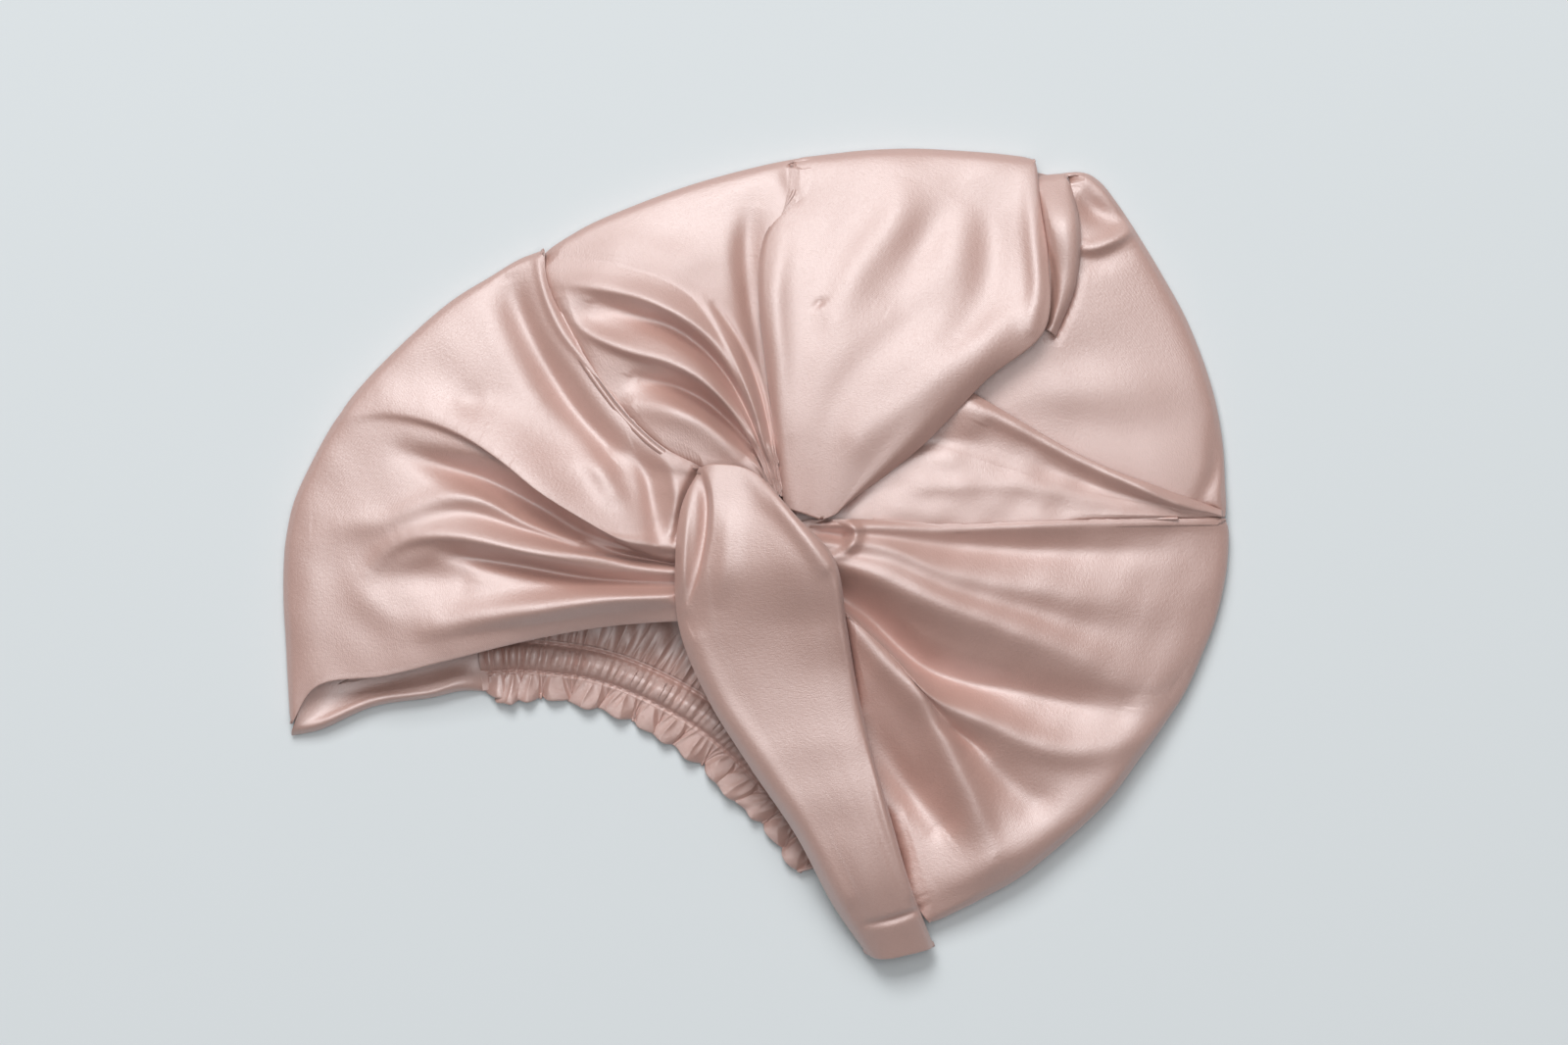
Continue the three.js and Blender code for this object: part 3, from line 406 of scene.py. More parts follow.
CROWN_PLEAT_FOLD_SHARES = [
    [(1246, 520, 15), (1180, 496, 36), (1100, 462, 38), (1040, 428, 39), (990, 400, 40), (960, 385, 38)],
    [(1246, 525, 18), (1180, 506, 40), (1100, 474, 44), (1040, 442, 45), (985, 415, 46), (940, 400, 40)],
    [(1246, 527, 18), (1180, 514, 36), (1100, 492, 38), (1030, 465, 39), (965, 440, 40), (905, 420, 38)],
    [(1246, 530, 16), (1180, 520, 35), (1100, 508, 38), (1020, 490, 41), (940, 470, 43), (870, 455, 40)],
    [(1246, 532, 15), (1180, 526, 35), (1100, 520, 39), (1010, 512, 43), (920, 498, 45), (825, 492, 43)],
    [(1246, 536, 13), (1180, 534, 35), (1100, 532, 40), (1000, 532, 44), (910, 522, 47), (810, 522, 45)],
    [(1246, 544, 12), (1180, 545, 34), (1100, 545, 38), (1000, 548, 42), (910, 545, 46), (810, 547, 44)],
]
RIGHT_FRONT_FOLD_SHARES = [
    [(1251, 528, 14), (1200, 529, 34), (1120, 530, 40), (1040, 532, 44), (960, 535, 48), (890, 530, 52),
     (812, 530, 50)],
    [(1253, 537, 14), (1200, 536, 36), (1120, 537, 43), (1040, 539, 47), (960, 542, 51), (890, 537, 57),
     (812, 538, 52)],
    [(1253, 560, 14), (1205, 562, 32), (1130, 563, 37), (1040, 562, 41), (960, 557, 47), (890, 546, 55),
     (815, 545, 54)],
    [(1249, 595, 14), (1200, 605, 33), (1120, 608, 42), (1040, 597, 47), (960, 580, 53), (900, 558, 59),
     (832, 553, 59)],
    [(1240, 632, 14), (1192, 642, 31), (1120, 644, 37), (1040, 621, 43), (965, 598, 50), (900, 570, 57),
     (832, 560, 58)],
    [(1226, 668, 15), (1178, 690, 31), (1115, 677, 42), (1035, 647, 52), (950, 614, 60), (890, 585, 63),
     (830, 568, 60)],
    [(1210, 704, 16), (1165, 712, 29), (1100, 704, 34), (1025, 680, 41), (945, 645, 47), (888, 607, 53),
     (832, 580, 56)],
    [(1190, 735, 18), (1150, 735, 28), (1090, 730, 29), (1015, 710, 30), (942, 680, 32), (888, 636, 39),
     (834, 594, 50)],
    [(1165, 770, 20), (1125, 766, 30), (1065, 765, 36), (1005, 737, 42), (950, 708, 49), (900, 659, 56),
     (840, 604, 56)],
    [(1125, 822, 21), (1098, 810, 28), (1055, 812, 29), (1012, 780, 32), (962, 730, 40), (904, 664, 54),
     (845, 611, 55)],
    [(1052, 886, 22), (1030, 870, 29), (1008, 843, 34), (986, 798, 41), (950, 729, 49), (897, 657, 57),
     (848, 618, 55)],
    [(1000, 917, 21), (985, 890, 28), (965, 850, 28), (945, 800, 31), (915, 737, 39), (880, 680, 48),
     (850, 632, 50)],
    [(970, 932, 20), (950, 895, 27), (928, 850, 27), (908, 800, 29), (887, 740, 35), (864, 690, 43),
     (846, 640, 47)],
    [(948, 943, 18), (930, 915, 25), (905, 870, 27), (885, 820, 29), (868, 757, 33), (853, 700, 40),
     (838, 645, 45)],
]
TWIST_WRAP_FOLD_SHARES = [
    [(715, 478, 60), (697, 515, 62), (690, 575, 62), (694, 640, 54), (722, 710, 48), (765, 780, 44),
     (812, 850, 38), (850, 922, 27), (884, 972, 12)],
    [(719, 476, 64), (705, 515, 67), (699, 575, 69), (704, 640, 60), (731, 708, 53), (774, 778, 51),
     (820, 848, 47), (857, 918, 38), (889, 975, 18)],
    [(727, 474, 68), (722, 513, 74), (720, 575, 77), (727, 640, 66), (754, 705, 58), (795, 772, 57),
     (838, 840, 55), (871, 905, 47), (898, 977, 23)],
    [(741, 474, 70), (743, 513, 77), (750, 577, 82), (762, 640, 69), (786, 700, 61), (821, 765, 60),
     (857, 830, 59), (885, 898, 52), (911, 976, 25)],
    [(755, 476, 72), (766, 515, 80), (783, 572, 88), (802, 640, 72), (820, 700, 63), (845, 765, 62),
     (875, 830, 61), (899, 895, 53), (924, 973, 25)],
    [(768, 481, 74), (789, 523, 86), (817, 572, 94), (836, 640, 75), (847, 700, 64), (865, 765, 63),
     (889, 830, 61), (911, 895, 52), (937, 970, 24)],
    [(778, 488, 75), (806, 524, 90), (843, 570, 95), (857, 640, 75), (868, 700, 63), (884, 765, 60),
     (905, 832, 56), (924, 895, 46), (948, 967, 20)],
    [(784, 494, 72), (813, 527, 84), (850, 568, 86), (864, 640, 64), (874, 700, 52), (889, 765, 47),
     (909, 835, 40), (928, 900, 31), (953, 965, 12)],
]

# The mouth's hems, each line from the corner to the band
LEFT_HEM_FOLD_SHARES = [
    [(336, 655, 5), (366, 634, 5), (412, 616, 5), (458, 600, 5), (512, 590, 5)],
    [(314, 697, 11), (346, 674, 8), (400, 656, 6), (450, 642, 6), (500, 634, 6)],
    [(311, 706, 13), (344, 688, 7), (395, 679, 6), (448, 666, 6), (499, 652, 6)],
    [(306, 722, 13), (338, 711, 6), (388, 697, 6), (445, 684, 6), (496, 670, 7)],
    [(302, 736, 12), (329, 728, 9), (382, 708, 10), (442, 700, 12), (472, 690, 11), (500, 685, 4)],
    [(299, 744, 9), (328, 736, 12), (382, 714, 13), (441, 706, 14), (472, 697, 13), (500, 698, 4)],
    [(298, 748, 6), (327, 742, 9), (382, 719, 10), (441, 710, 10), (472, 703, 10), (500, 704, 3)],
    [(299, 750, 2), (327, 744, 2), (382, 720, 2), (441, 711, 2), (472, 704, 2), (500, 705, 2)],
    [(304, 744, 1), (329, 738, 1), (384, 714, 1), (442, 706, 1), (470, 698, 1), (493, 702, 1)],
]
RIGHT_HEM_FOLD_SHARES = [
    [(948, 888, 5), (930, 862, 5), (898, 816, 4)],
    [(942, 918, 9), (915, 893, 7), (876, 850, 4)],
    [(938, 930, 9), (905, 905, 9), (862, 862, 4)],
    [(935, 941, 8), (896, 918, 9), (850, 874, 4)],
    [(934, 945, 2), (893, 921, 2), (847, 877, 2)],
    [(936, 940, 1), (897, 915, 1), (852, 872, 1)],
]

# Strokes that shape a panel's folds: width to the left and right of the line, lean to the right, and the line
# itself as squares across, squares down and percent of the knot's height
LEFT_FRONT_STROKE_SHARES = [
    (13, 12, 0.0, [(415, 462, -2), (450, 474, -6), (485, 486, -5), (515, 499, -3), (550, 516, -2),
     (590, 539, -2)]),
    (22, 10, 0.85, [(352, 422, 1), (395, 416, 3), (445, 423, 6), (487, 437, 10), (529, 459, 15),
     (563, 485, 16), (595, 509, 13), (626, 531, 9), (658, 552, 6), (690, 567, 3)]),
    (14, 14, 0.0, [(585, 468, 1), (612, 480, 3), (625, 500, 2)]),
    (7, 5, 0.0, [(549, 264, 1), (558, 303, 3), (574, 338, 3), (595, 364, 3), (634, 409, 3), (668, 445, 3),
     (698, 469, 1)]),
    (4, 6, 0.0, [(600, 554, -3), (640, 566, -11), (690, 575, -13), (712, 578, -10)]),
    (12, 14, 0.2, [(352, 536, 1), (395, 531, 3), (437, 513, 4), (485, 505, 5), (518, 512, 6), (545, 528, 5),
     (580, 538, 3), (618, 549, 1)]),
    (9, 11, 0.5, [(380, 582, 1), (394, 560, 3), (418, 546, 5), (455, 541, 7), (500, 547, 8), (560, 564, 7),
     (620, 579, 6), (700, 586, 3)]),
    (8, 8, 0.0, [(455, 562, -2), (490, 569, -7), (540, 578, -9), (600, 590, -10), (650, 595, -9),
     (712, 597, -8)]),
    (14, 17, 0.0, [(368, 590, 1), (380, 614, 1.5), (404, 630, 1.5), (440, 630, 1)]),
    (16, 18, 0.0, [(405, 584, -1), (430, 589, -2.5), (470, 592, -3)]),
    (13, 12, 0.0, [(440, 641, 1), (480, 631, 3), (540, 621, 4), (600, 613, 4), (695, 606, 3)]),
    (14, 17, 0.0, [(520, 290, -2), (529, 320, -6), (545, 355, -7), (568, 395, -8), (592, 430, -7),
     (615, 455, -4)]),
    (13, 14, 0.0, [(560, 410, 1), (590, 442, 4), (615, 477, 5), (634, 508, 3), (645, 530, 1)]),
    (12, 9, 0.0, [(650, 462, -2), (662, 490, -5), (668, 520, -5), (672, 548, -3)]),
    (11, 8, 0.0, [(675, 462, 1), (686, 482, 3), (691, 505, 4), (691, 540, 2)]),
    (4, 6, 0.0, [(714, 482, -7), (706, 502, -8), (698, 524, -7), (692, 548, -4)]),
    (16, 16, 0.0, [(462, 412, -1), (480, 410, -2.5), (500, 408, -1)]),
    (20, 24, 0.0, [(318, 560, 1.5), (316, 620, 2), (322, 665, 1)]),
]
CROWN_LEFT_STROKE_SHARES = [
    (10, 8, 0.5, [(572, 288, 1), (610, 292, 4), (660, 303, 6), (700, 322, 8), (735, 352, 7), (765, 402, 5),
     (786, 462, 2)]),
    (7, 10, 0.0, [(610, 311, -2), (650, 322, -6), (690, 334, -10), (722, 357, -11), (746, 390, -9),
     (769, 432, -5)]),
    (8, 8, 0.5, [(577, 312, 1), (598, 334, 4), (640, 354, 6), (685, 366, 8), (720, 384, 8), (750, 413, 6),
     (778, 457, 2)]),
    (7, 10, 0.0, [(650, 386, -2), (690, 396, -9), (720, 412, -13), (742, 432, -12), (765, 460, -7)]),
    (12, 14, 0.0, [(650, 414, 3), (690, 420, 5), (725, 434, 4), (755, 457, 2)]),
    (5, 5, 0.3, [(716, 306, 1), (742, 346, 4), (766, 398, 5), (782, 448, 4), (791, 485, 1)]),
    (4, 4, 0.0, [(730, 312, -1), (756, 352, -3), (775, 400, -5), (787, 450, -4)]),
    (16, 12, 0.0, [(768, 212, -1), (762, 255, -5), (766, 305, -7), (776, 365, -6), (786, 430, -3)]),
    (6, 8, 0.0, [(803, 166, -1), (806, 184, -2), (812, 206, -1)]),
    (26, 24, 0.0, [(640, 262, 1), (690, 262, 3), (735, 262, 2)]),
]
CROWN_LOBE_STROKE_SHARES = [
    (24, 24, 0.0, [(988, 185, -1), (1008, 235, -5), (1006, 290, -5), (982, 345, -2)]),
    (22, 20, 0.0, [(926, 182, 1), (912, 225, 4), (880, 270, 4), (850, 320, 2)]),
    (20, 22, 0.0, [(972, 205, -1), (940, 250, -4), (915, 300, -2)]),
    (20, 18, 0.0, [(1036, 325, 2), (985, 362, 4), (930, 410, 4), (880, 448, 2)]),
    (20, 20, 0.0, [(960, 310, -1), (905, 350, -3), (860, 400, -2), (835, 450, -1)]),
    (4, 3, 0.0, [(830, 316, -0.5), (836, 311, -1.6), (842, 308, -0.5)]),
    (11, 10, 0.0, [(1050, 185, 1), (1053, 240, 4), (1056, 295, 4), (1050, 335, 2)]),
    (12, 14, 0.0, [(800, 240, 2), (791, 300, 3), (795, 370, 3), (802, 440, 1)]),
]
CROWN_FLAP_STROKE_SHARES = [
    (5, 5, 0.0, [(1066, 240, -1), (1071, 280, -4), (1071, 305, -5), (1067, 330, -3)]),
]
CROWN_RIGHT_STROKE_SHARES = [
    (14, 15, 0.0, [(1100, 196, -4), (1114, 214, -8), (1132, 222, -6), (1148, 222, -3)]),
    (8, 8, 0.3, [(1090, 250, 2), (1112, 252, 5), (1134, 244, 6), (1156, 231, 3)]),
    (8, 12, 0.0, [(1090, 264, -1), (1118, 268, -2), (1144, 258, -1)]),
    (24, 24, 0.0, [(1220, 378, 0), (1165, 368, -1), (1105, 366, -1)]),
    (22, 22, 0.0, [(1225, 402, 0), (1150, 396, 0.8), (1085, 400, 1)]),
    (22, 24, 0.0, [(1215, 436, 0), (1160, 440, -1), (1105, 432, -1)]),
    (30, 40, 0.0, [(1190, 290, 0.5), (1140, 310, 1), (1100, 330, 0.5)]),
    (9, 9, 0.0, [(1240, 440, -1), (1238, 480, -3), (1225, 510, -2)]),
]
CROWN_PLEAT_STROKE_SHARES = [
    (9, 14, 0.0, [(1010, 438, -2), (1060, 462, -5), (1120, 492, -5), (1185, 516, -2)]),
    (7, 9, 0.5, [(985, 402, 1), (1045, 430, 3), (1100, 457, 4), (1160, 492, 3), (1220, 522, 1)]),
    (12, 10, 0.0, [(900, 505, 0), (960, 496, 2), (1040, 497, 2), (1130, 515, 0)]),
    (9, 10, 0.0, [(862, 476, -1), (905, 462, -3), (945, 452, -3), (985, 452, -1)]),
]
RIGHT_FRONT_STROKE_SHARES = [
    (9, 8, 0.0, [(1251, 531, 1), (1190, 532, 3), (1100, 533, 3), (1000, 536, 3), (900, 534, 2),
     (850, 533, 1)]),
    (20, 20, 0.0, [(870, 545, 1), (905, 562, 3), (950, 580, 4), (1000, 592, 4), (1063, 603, 4),
     (1113, 611, 3), (1163, 618, 1)]),
    (24, 20, 0.0, [(858, 568, 2), (897, 586, 5), (940, 606, 8), (987, 624, 9), (1030, 641, 8),
     (1080, 660, 6), (1123, 680, 4), (1160, 706, 1)]),
    (17, 13, 0.0, [(858, 605, -9), (888, 630, -14), (912, 658, -14), (938, 680, -12), (985, 694, -9),
     (1030, 700, -7), (1090, 714, -5), (1140, 720, -2)]),
    (14, 20, 0.0, [(866, 624, 3), (897, 658, 6), (930, 698, 6), (950, 732, 5), (968, 767, 6), (985, 800, 6),
     (1000, 837, 5), (1012, 865, 2)]),
    (18, 16, 0.0, [(948, 708, 2), (977, 722, 4), (1017, 737, 5), (1047, 753, 5), (1080, 764, 5),
     (1117, 764, 4), (1150, 754, 3), (1177, 738, 1)]),
    (5, 6, 0.0, [(947, 716, -1), (963, 738, -4), (987, 753, -4), (1006, 768, -1)]),
    (18, 20, 0.0, [(990, 770, -1), (1017, 792, -3), (1047, 813, -3), (1083, 820, -1)]),
    (18, 16, 0.0, [(880, 730, -1), (903, 770, -6), (930, 808, -9), (955, 838, -5)]),
    (18, 24, 0.0, [(1185, 715, 1), (1155, 762, 3), (1115, 808, 4), (1060, 853, 5), (1000, 885, 5),
     (955, 905, 2)]),
    (7, 6, 0.0, [(824, 530, 1), (846, 527, 3), (864, 532, 6), (872, 545, 7), (864, 560, 6), (850, 567, 3)]),
    (8, 7, 0.0, [(830, 542, -4), (845, 544, -8), (858, 547, -8)]),
    (14, 15, 0.0, [(1200, 560, -1), (1130, 562, -3), (1050, 560, -4), (980, 553, -3), (920, 543, -1)]),
]
TWIST_WRAP_STROKE_SHARES = [
    (3, 9, 0.0, [(716, 480, -2), (722, 505, -8), (722, 535, -9), (717, 568, -7), (711, 590, -4),
     (702, 612, -1)]),
    (6, 6, 0.0, [(704, 505, 1), (700, 540, 4), (698, 580, 4), (700, 620, 1)]),
    (6, 7, 0.0, [(850, 572, 1), (856, 600, 4), (866, 664, 4), (884, 723, 4), (902, 823, 4), (932, 908, 3)]),
    (12, 16, 0.0, [(712, 655, 2), (740, 715, 3), (785, 780, 3), (828, 850, 3), (860, 912, 2)]),
    (8, 10, 0.0, [(770, 488, 1), (795, 518, 3), (822, 549, 4), (842, 576, 3)]),
    (11, 11, 0.0, [(741, 510, 0), (743, 545, 2), (741, 580, 2), (733, 620, 0)]),
    (3, 4, 0.0, [(884, 940, -1), (912, 934, -3), (945, 922, -1)]),
]


def place(across, down, height=0.0):
    """A place on the drafting squares, in metres."""
    return np.array([(across - MIDDLE_ACROSS_PX) * SQUARE, (MIDDLE_DOWN_PX - down) * SQUARE, height])


def fold_line(line):
    """Places on the squares, with their heights as percentages of the knot's."""
    return np.array([place(across, down, rise * PERCENT) for across, down, rise in line])


def plan_line(line_px, count):
    """A smooth line in plan through places on the squares."""
    return smooth_through([place(*point)[:2] for point in line_px], count)


def unit(vectors):
    """Vectors of length 1."""
    return vectors / np.maximum(np.linalg.norm(vectors, axis=-1, keepdims=True), TINY)


def headings(line):
    """The direction of a line at each of its points."""
    return unit(np.gradient(line, axis=0))


def rightward(ways):
    """Directions in plan, turned a quarter to the right."""
    return np.stack([ways[..., 1], -ways[..., 0]], axis=-1)


def steps_of(points, axis=0):
    """The distance from each point to the next along an axis."""
    return np.linalg.norm(np.diff(points, axis=axis), axis=-1)


def sums(steps, axis=0):
    """Sums of steps along an axis, from zero."""
    return np.insert(np.cumsum(steps, axis=axis), 0, 0.0, axis=axis)


def eased(share):
    """A share that starts and ends gently."""
    return share**2 * (3 - 2 * share)


def evened(values, reach):
    """Values along a line, each evened out with its neighbours."""
    padded = np.concatenate([values[:1].repeat(reach, 0), values, values[-1:].repeat(reach, 0)])
    return sum(padded[n:n + len(values)] for n in range(2 * reach + 1)) / (2 * reach + 1)


def smooth_through(points, counts):
    """Smooth curve through points along their first axis, at evenly spaced counts."""
    points = np.asarray(points, float)
    shape = (-1,) + (1,) * (points.ndim - 1)

    def gaps(places):
        between = steps_of(places)
        return between.mean(axis=-1) if between.ndim > 1 else between

    knots = sums(np.sqrt(np.maximum(gaps(points), 1e-9)))
    steps = np.diff(knots)
    secants = np.diff(points, axis=0) / steps.reshape(shape)
    before, after = steps[:-1].reshape(shape), steps[1:].reshape(shape)
    slopes = np.empty_like(points)
    slopes[1:-1] = (secants[:-1] * after + secants[1:] * before) / (before + after)
    slopes[0], slopes[-1] = secants[0], secants[-1]
    fine = CURVE_STEPS * len(points)
    at = np.linspace(0, knots[-1], fine)
    i = np.clip(np.searchsorted(knots, at, side="right") - 1, 0, len(points) - 2)
    t = ((at - knots[i]) / steps[i]).reshape(shape)
    span = steps[i].reshape(shape)
    curve = (
        (2 * t**3 - 3 * t**2 + 1) * points[i]
        + (t**3 - 2 * t**2 + t) * span * slopes[i]
        + (3 * t**2 - 2 * t**3) * points[i + 1]
        + (t**3 - t**2) * span * slopes[i + 1]
    )
    along = sums(gaps(curve))
    wanted = np.linspace(0, along[-1], counts)
    j = np.clip(np.searchsorted(along, wanted, side="right") - 1, 0, fine - 2)
    share = ((wanted - along[j]) / np.maximum(along[j + 1] - along[j], TINY)).reshape(shape)
    return curve[j] * (1 - share) + curve[j + 1] * share


def skin(fold_shares, along, across):
    """Upper face of a panel: a grid of points, its rows running from the outline to the knot."""
    lines = np.array([smooth_through(fold_line(line), along) for line in fold_shares])
    return smooth_through(lines, across).transpose(1, 0, 2)


def lifted(grid, height):
    """A grid raised by a height, or by one for each of its points."""
    higher = grid.copy()
    higher[..., 2] += height
    return higher


def near_line(points, line):
    """For points in plan: the share of the way along a line, and the distance to the left of it."""
    best = np.full(points.shape[:-1], np.inf)
    share = np.zeros(points.shape[:-1])
    signed = np.zeros(points.shape[:-1])
    lengths = steps_of(line[:, :2])
    total = lengths.sum()
    start = 0.0
    for a, b, length in zip(line[:-1, :2], line[1:, :2], lengths):
        way = (b - a) / length
        offset = points[..., :2] - a
        along = np.clip(offset @ way, 0, length)
        gap = np.hypot(offset[..., 0] - along * way[0], offset[..., 1] - along * way[1])
        side = way[0] * offset[..., 1] - way[1] * offset[..., 0]
        nearer = gap < best
        best = np.where(nearer, gap, best)
        share = np.where(nearer, (start + along) / total, share)
        signed = np.where(nearer, np.where(side >= 0, gap, -gap), signed)
        start += length
    return share, signed


def shaped(grid, strokes):
    """A panel raised or lowered along its strokes in turn. Lean pushes the raised cloth to the right."""
    for left_px, right_px, lean, line_px in strokes:
        line = smooth_through(fold_line(line_px), STROKE_POINTS)
        share, signed = near_line(grid, line)
        rise = np.interp(share, np.linspace(0, 1, len(line)), line[:, 2])
        width = np.where(signed >= 0, left_px, right_px) * SQUARE
        shape = np.exp(-((signed / width) ** 2))
        grid = lifted(grid, rise * shape)
        if lean:
            index = np.clip((share * (len(line) - 1)).round().astype(int), 0, len(line) - 1)
            right = rightward(headings(line[:, :2]))[index]
            grid[..., :2] += right * (lean * np.abs(rise) * shape)[..., None]
    return grid


def ripples(grid, cloth):
    """Faint uneven waves in a cloth, the same on every run."""
    seed, wavelength, height = RIPPLES[cloth]
    chance = np.random.default_rng(seed)
    for _ in range(RIPPLE_COUNT):
        angle = chance.uniform(0, math.pi)
        size = wavelength * chance.uniform(*RIPPLE_SIZE_SHARES)
        phase = chance.uniform(0, 2 * math.pi)
        across = grid[..., 0] * math.cos(angle) + grid[..., 1] * math.sin(angle)
        wave = np.sin(2 * math.pi * across / size + phase)
        grid = lifted(grid, wave * height / math.sqrt(RIPPLE_COUNT))
    return grid


def gathered(grid, seed, pleats, height):
    """Fine uneven pleats that run to the knot and grow over the last part of the way."""
    chance = np.random.default_rng(seed)
    rows, columns = grid.shape[:2]
    widths = chance.uniform(*GATHER_WIDTH_SHARES, pleats)
    places = sums(widths) / widths.sum()
    phase = np.interp(np.linspace(0, 1, columns), places, np.arange(pleats + 1))
    depths = chance.uniform(*GATHER_DEPTH_SHARES, pleats + 1)
    depth = np.interp(np.linspace(0, 1, columns), places, depths)
    wave = (0.5 - 0.5 * np.cos(2 * math.pi * phase)) * depth
    begin = 1 - GATHER_REACH_SHARE
    growth = np.clip((np.linspace(0, 1, rows) - begin) / GATHER_REACH_SHARE, 0, 1) ** 1.6
    return lifted(grid, height * growth[:, None] * (wave - 0.4)[None, :])


def rimmed(grid, slope):
    """A panel whose rim stands up from the table and then rises gently, as padded cloth does."""
    outward = np.linalg.norm(grid[..., :2] - grid[:1, :, :2], axis=-1)
    standing = np.maximum(grid[:1, :, 2], RIM_HEIGHT)
    raised = grid[..., 2] + (standing - grid[:1, :, 2]) * np.exp(-((outward / RIM_FADE) ** 2))
    gentle = standing + RIM_SOFTNESS + slope * outward
    level = -RIM_SOFTNESS * np.logaddexp(-raised / RIM_SOFTNESS, -gentle / RIM_SOFTNESS)
    return np.concatenate([grid[..., :2], level[..., None]], axis=-1)


def turned_to(grid, side):
    """A grid with its first, last, left or right side as its first row. Turning twice gives it back."""
    if side == "last":
        return grid[::-1]
    if side == "left":
        return grid.transpose(1, 0, 2)
    if side == "right":
        return grid[::-1, ::-1].transpose(1, 0, 2)
    return grid


def rolled(grid, side, radius, low=None, turn=180, tuck=ROLL_TUCK, pulled=ROLL_PULLED, profile=None,
           width_share=1):
    """A grid with the cloth rolled under along one of its sides, without reaching further out.

    The roll goes on from the slope of the cloth and tapers off towards the side's ends. profile gives shares
    of the radius at shares of the way along the side. With low the roll comes down to that height.
    width_share makes it narrower than it is tall."""
    turned = turned_to(grid, side).copy()
    edge = turned[0].copy()
    run = edge - turned[pulled]
    slope = np.clip(evened(np.arctan2(-run[:, 2], np.hypot(run[:, 0], run[:, 1])), 4), *ROLL_SLOPES)[:, None]
    slope = np.arctan(width_share * np.tan(slope))
    outward = edge - turned[3]
    outward[:, 2] = 0
    outward = unit(evened(unit(outward), 4))
    along = sums(steps_of(edge))
    ends = np.sqrt(np.clip(np.minimum(along, along[-1] - along) / ROLL_TAPER, ROLL_END_SHARE, 1))[:, None]
    radius = np.full_like(ends, radius)
    if low is not None:
        radius = np.clip((edge[:, 2:] - low) / (1 + np.cos(slope)), FOLD_RADIUS, radius)
        radius = radius * np.clip((RIM_ROLL_TOP - edge[:, 2:]) / RIM_ROLL_FADE, RIM_ROLL_LEAST_SHARE, 1)
    if profile is not None:
        radius = radius * np.interp(along / along[-1], *zip(*profile))[:, None]
    pull = radius * width_share * (1 - np.sin(slope))
    radius = radius * ends
    breadth = outward * width_share
    up = np.array([0.0, 0.0, 1.0])
    for k in range(pulled):
        turned[k] -= outward * pull * (1 - k / pulled) ** 2
    centre = turned[0] - (breadth * np.sin(slope) + up * np.cos(slope)) * radius
    rows = []
    for step in range(1, ROLL_STEPS + 1):
        angle = slope + (math.radians(turn) - slope) * step / ROLL_STEPS
        rows.append(centre + (breadth * np.sin(angle) + up * np.cos(angle)) * radius)
    rows.append(rows[-1] - outward * tuck * ends)
    return turned_to(np.concatenate([np.array(rows[::-1]), turned]), side)


def edged(grid, sides, radius=FOLD_RADIUS, profile=None):
    """A panel with its cloth rolled under along some sides. At the outline it comes down to the table."""
    for side in sides:
        if side == "first":
            grid = rolled(grid, side, OUTLINE_RADIUS, HEM_GAP, OUTLINE_TURN, width_share=OUTLINE_WIDTH_SHARE)
        else:
            grid = rolled(grid, side, radius, profile=profile if side == "left" else None)
    return grid


def grid_faces(rows, columns, closed=False):
    """The four points of each face of a grid. In a closed one the last column meets the first."""
    i, j = np.meshgrid(np.arange(rows - 1), np.arange(columns if closed else columns - 1), indexing="ij")
    k = (j + 1) % columns
    faces = [i * columns + j, i * columns + k, (i + 1) * columns + k, (i + 1) * columns + j]
    return np.stack(faces, axis=-1).reshape(-1, 4)


def tree_of(grid):
    """A search tree over a grid's faces."""
    return BVHTree.FromPolygons(grid.reshape(-1, 3).tolist(), grid_faces(*grid.shape[:2]).tolist())


def tucked(grid, covers, spread=TUCK_SPREAD):
    """A grid pressed down where others lie over it, and easing up again beside them."""
    trees = [tree_of(cover) for cover in covers]
    lowered = grid.copy()
    flat = lowered.reshape(-1, 3)
    up = Vector((0, 0, 1))
    for n, (x, y, z) in enumerate(flat):
        hits = [tree.ray_cast(Vector((x, y, RAYS_BELOW)), up)[0] for tree in trees]
        flat[n, 2] = min([z] + [hit.z - TUCK_GAP for hit in hits if hit is not None])
    drop = grid[..., 2] - lowered[..., 2]
    for _ in range(spread):
        beside = drop.copy()
        beside[1:] = np.maximum(beside[1:], drop[:-1] * TUCK_EASE_SHARE)
        beside[:-1] = np.maximum(beside[:-1], drop[1:] * TUCK_EASE_SHARE)
        beside[:, 1:] = np.maximum(beside[:, 1:], drop[:, :-1] * TUCK_EASE_SHARE)
        beside[:, :-1] = np.maximum(beside[:, :-1], drop[:, 1:] * TUCK_EASE_SHARE)
        drop = beside
    lowered[..., 2] = grid[..., 2] - drop
    return lowered


def meld_weight(rows):
    """How much each row lies down on the cloth beside it: fully at first, and not at all further on."""
    return eased(np.clip(1.5 - 1.5 * np.arange(rows) / (rows * MELD_LENGTH_SHARE), 0, 1))


def melded(grid, under):
    """A grid whose first corner dips into another, so that the two go on from each other without an edge."""
    rows, columns = grid.shape[:2]
    across = np.clip(1 - np.arange(columns) / (columns * MELD_WIDTH_SHARE), 0, 1)
    weight = meld_weight(rows)[:, None] * eased(across)[None, :]
    dip = MELD_DIP * (1 - 2.2 * (1 - across))
    tree = tree_of(under)
    lowered = grid.copy()
    for i, j in zip(*np.nonzero(weight)):
        x, y, z = grid[i, j]
        hit = tree.ray_cast(Vector((x, y, RAYS_ABOVE)), Vector((0, 0, -1)))[0]
        if hit is not None:
            lowered[i, j, 2] = z + (hit.z - dip[j] - z) * weight[i, j]
    return lowered


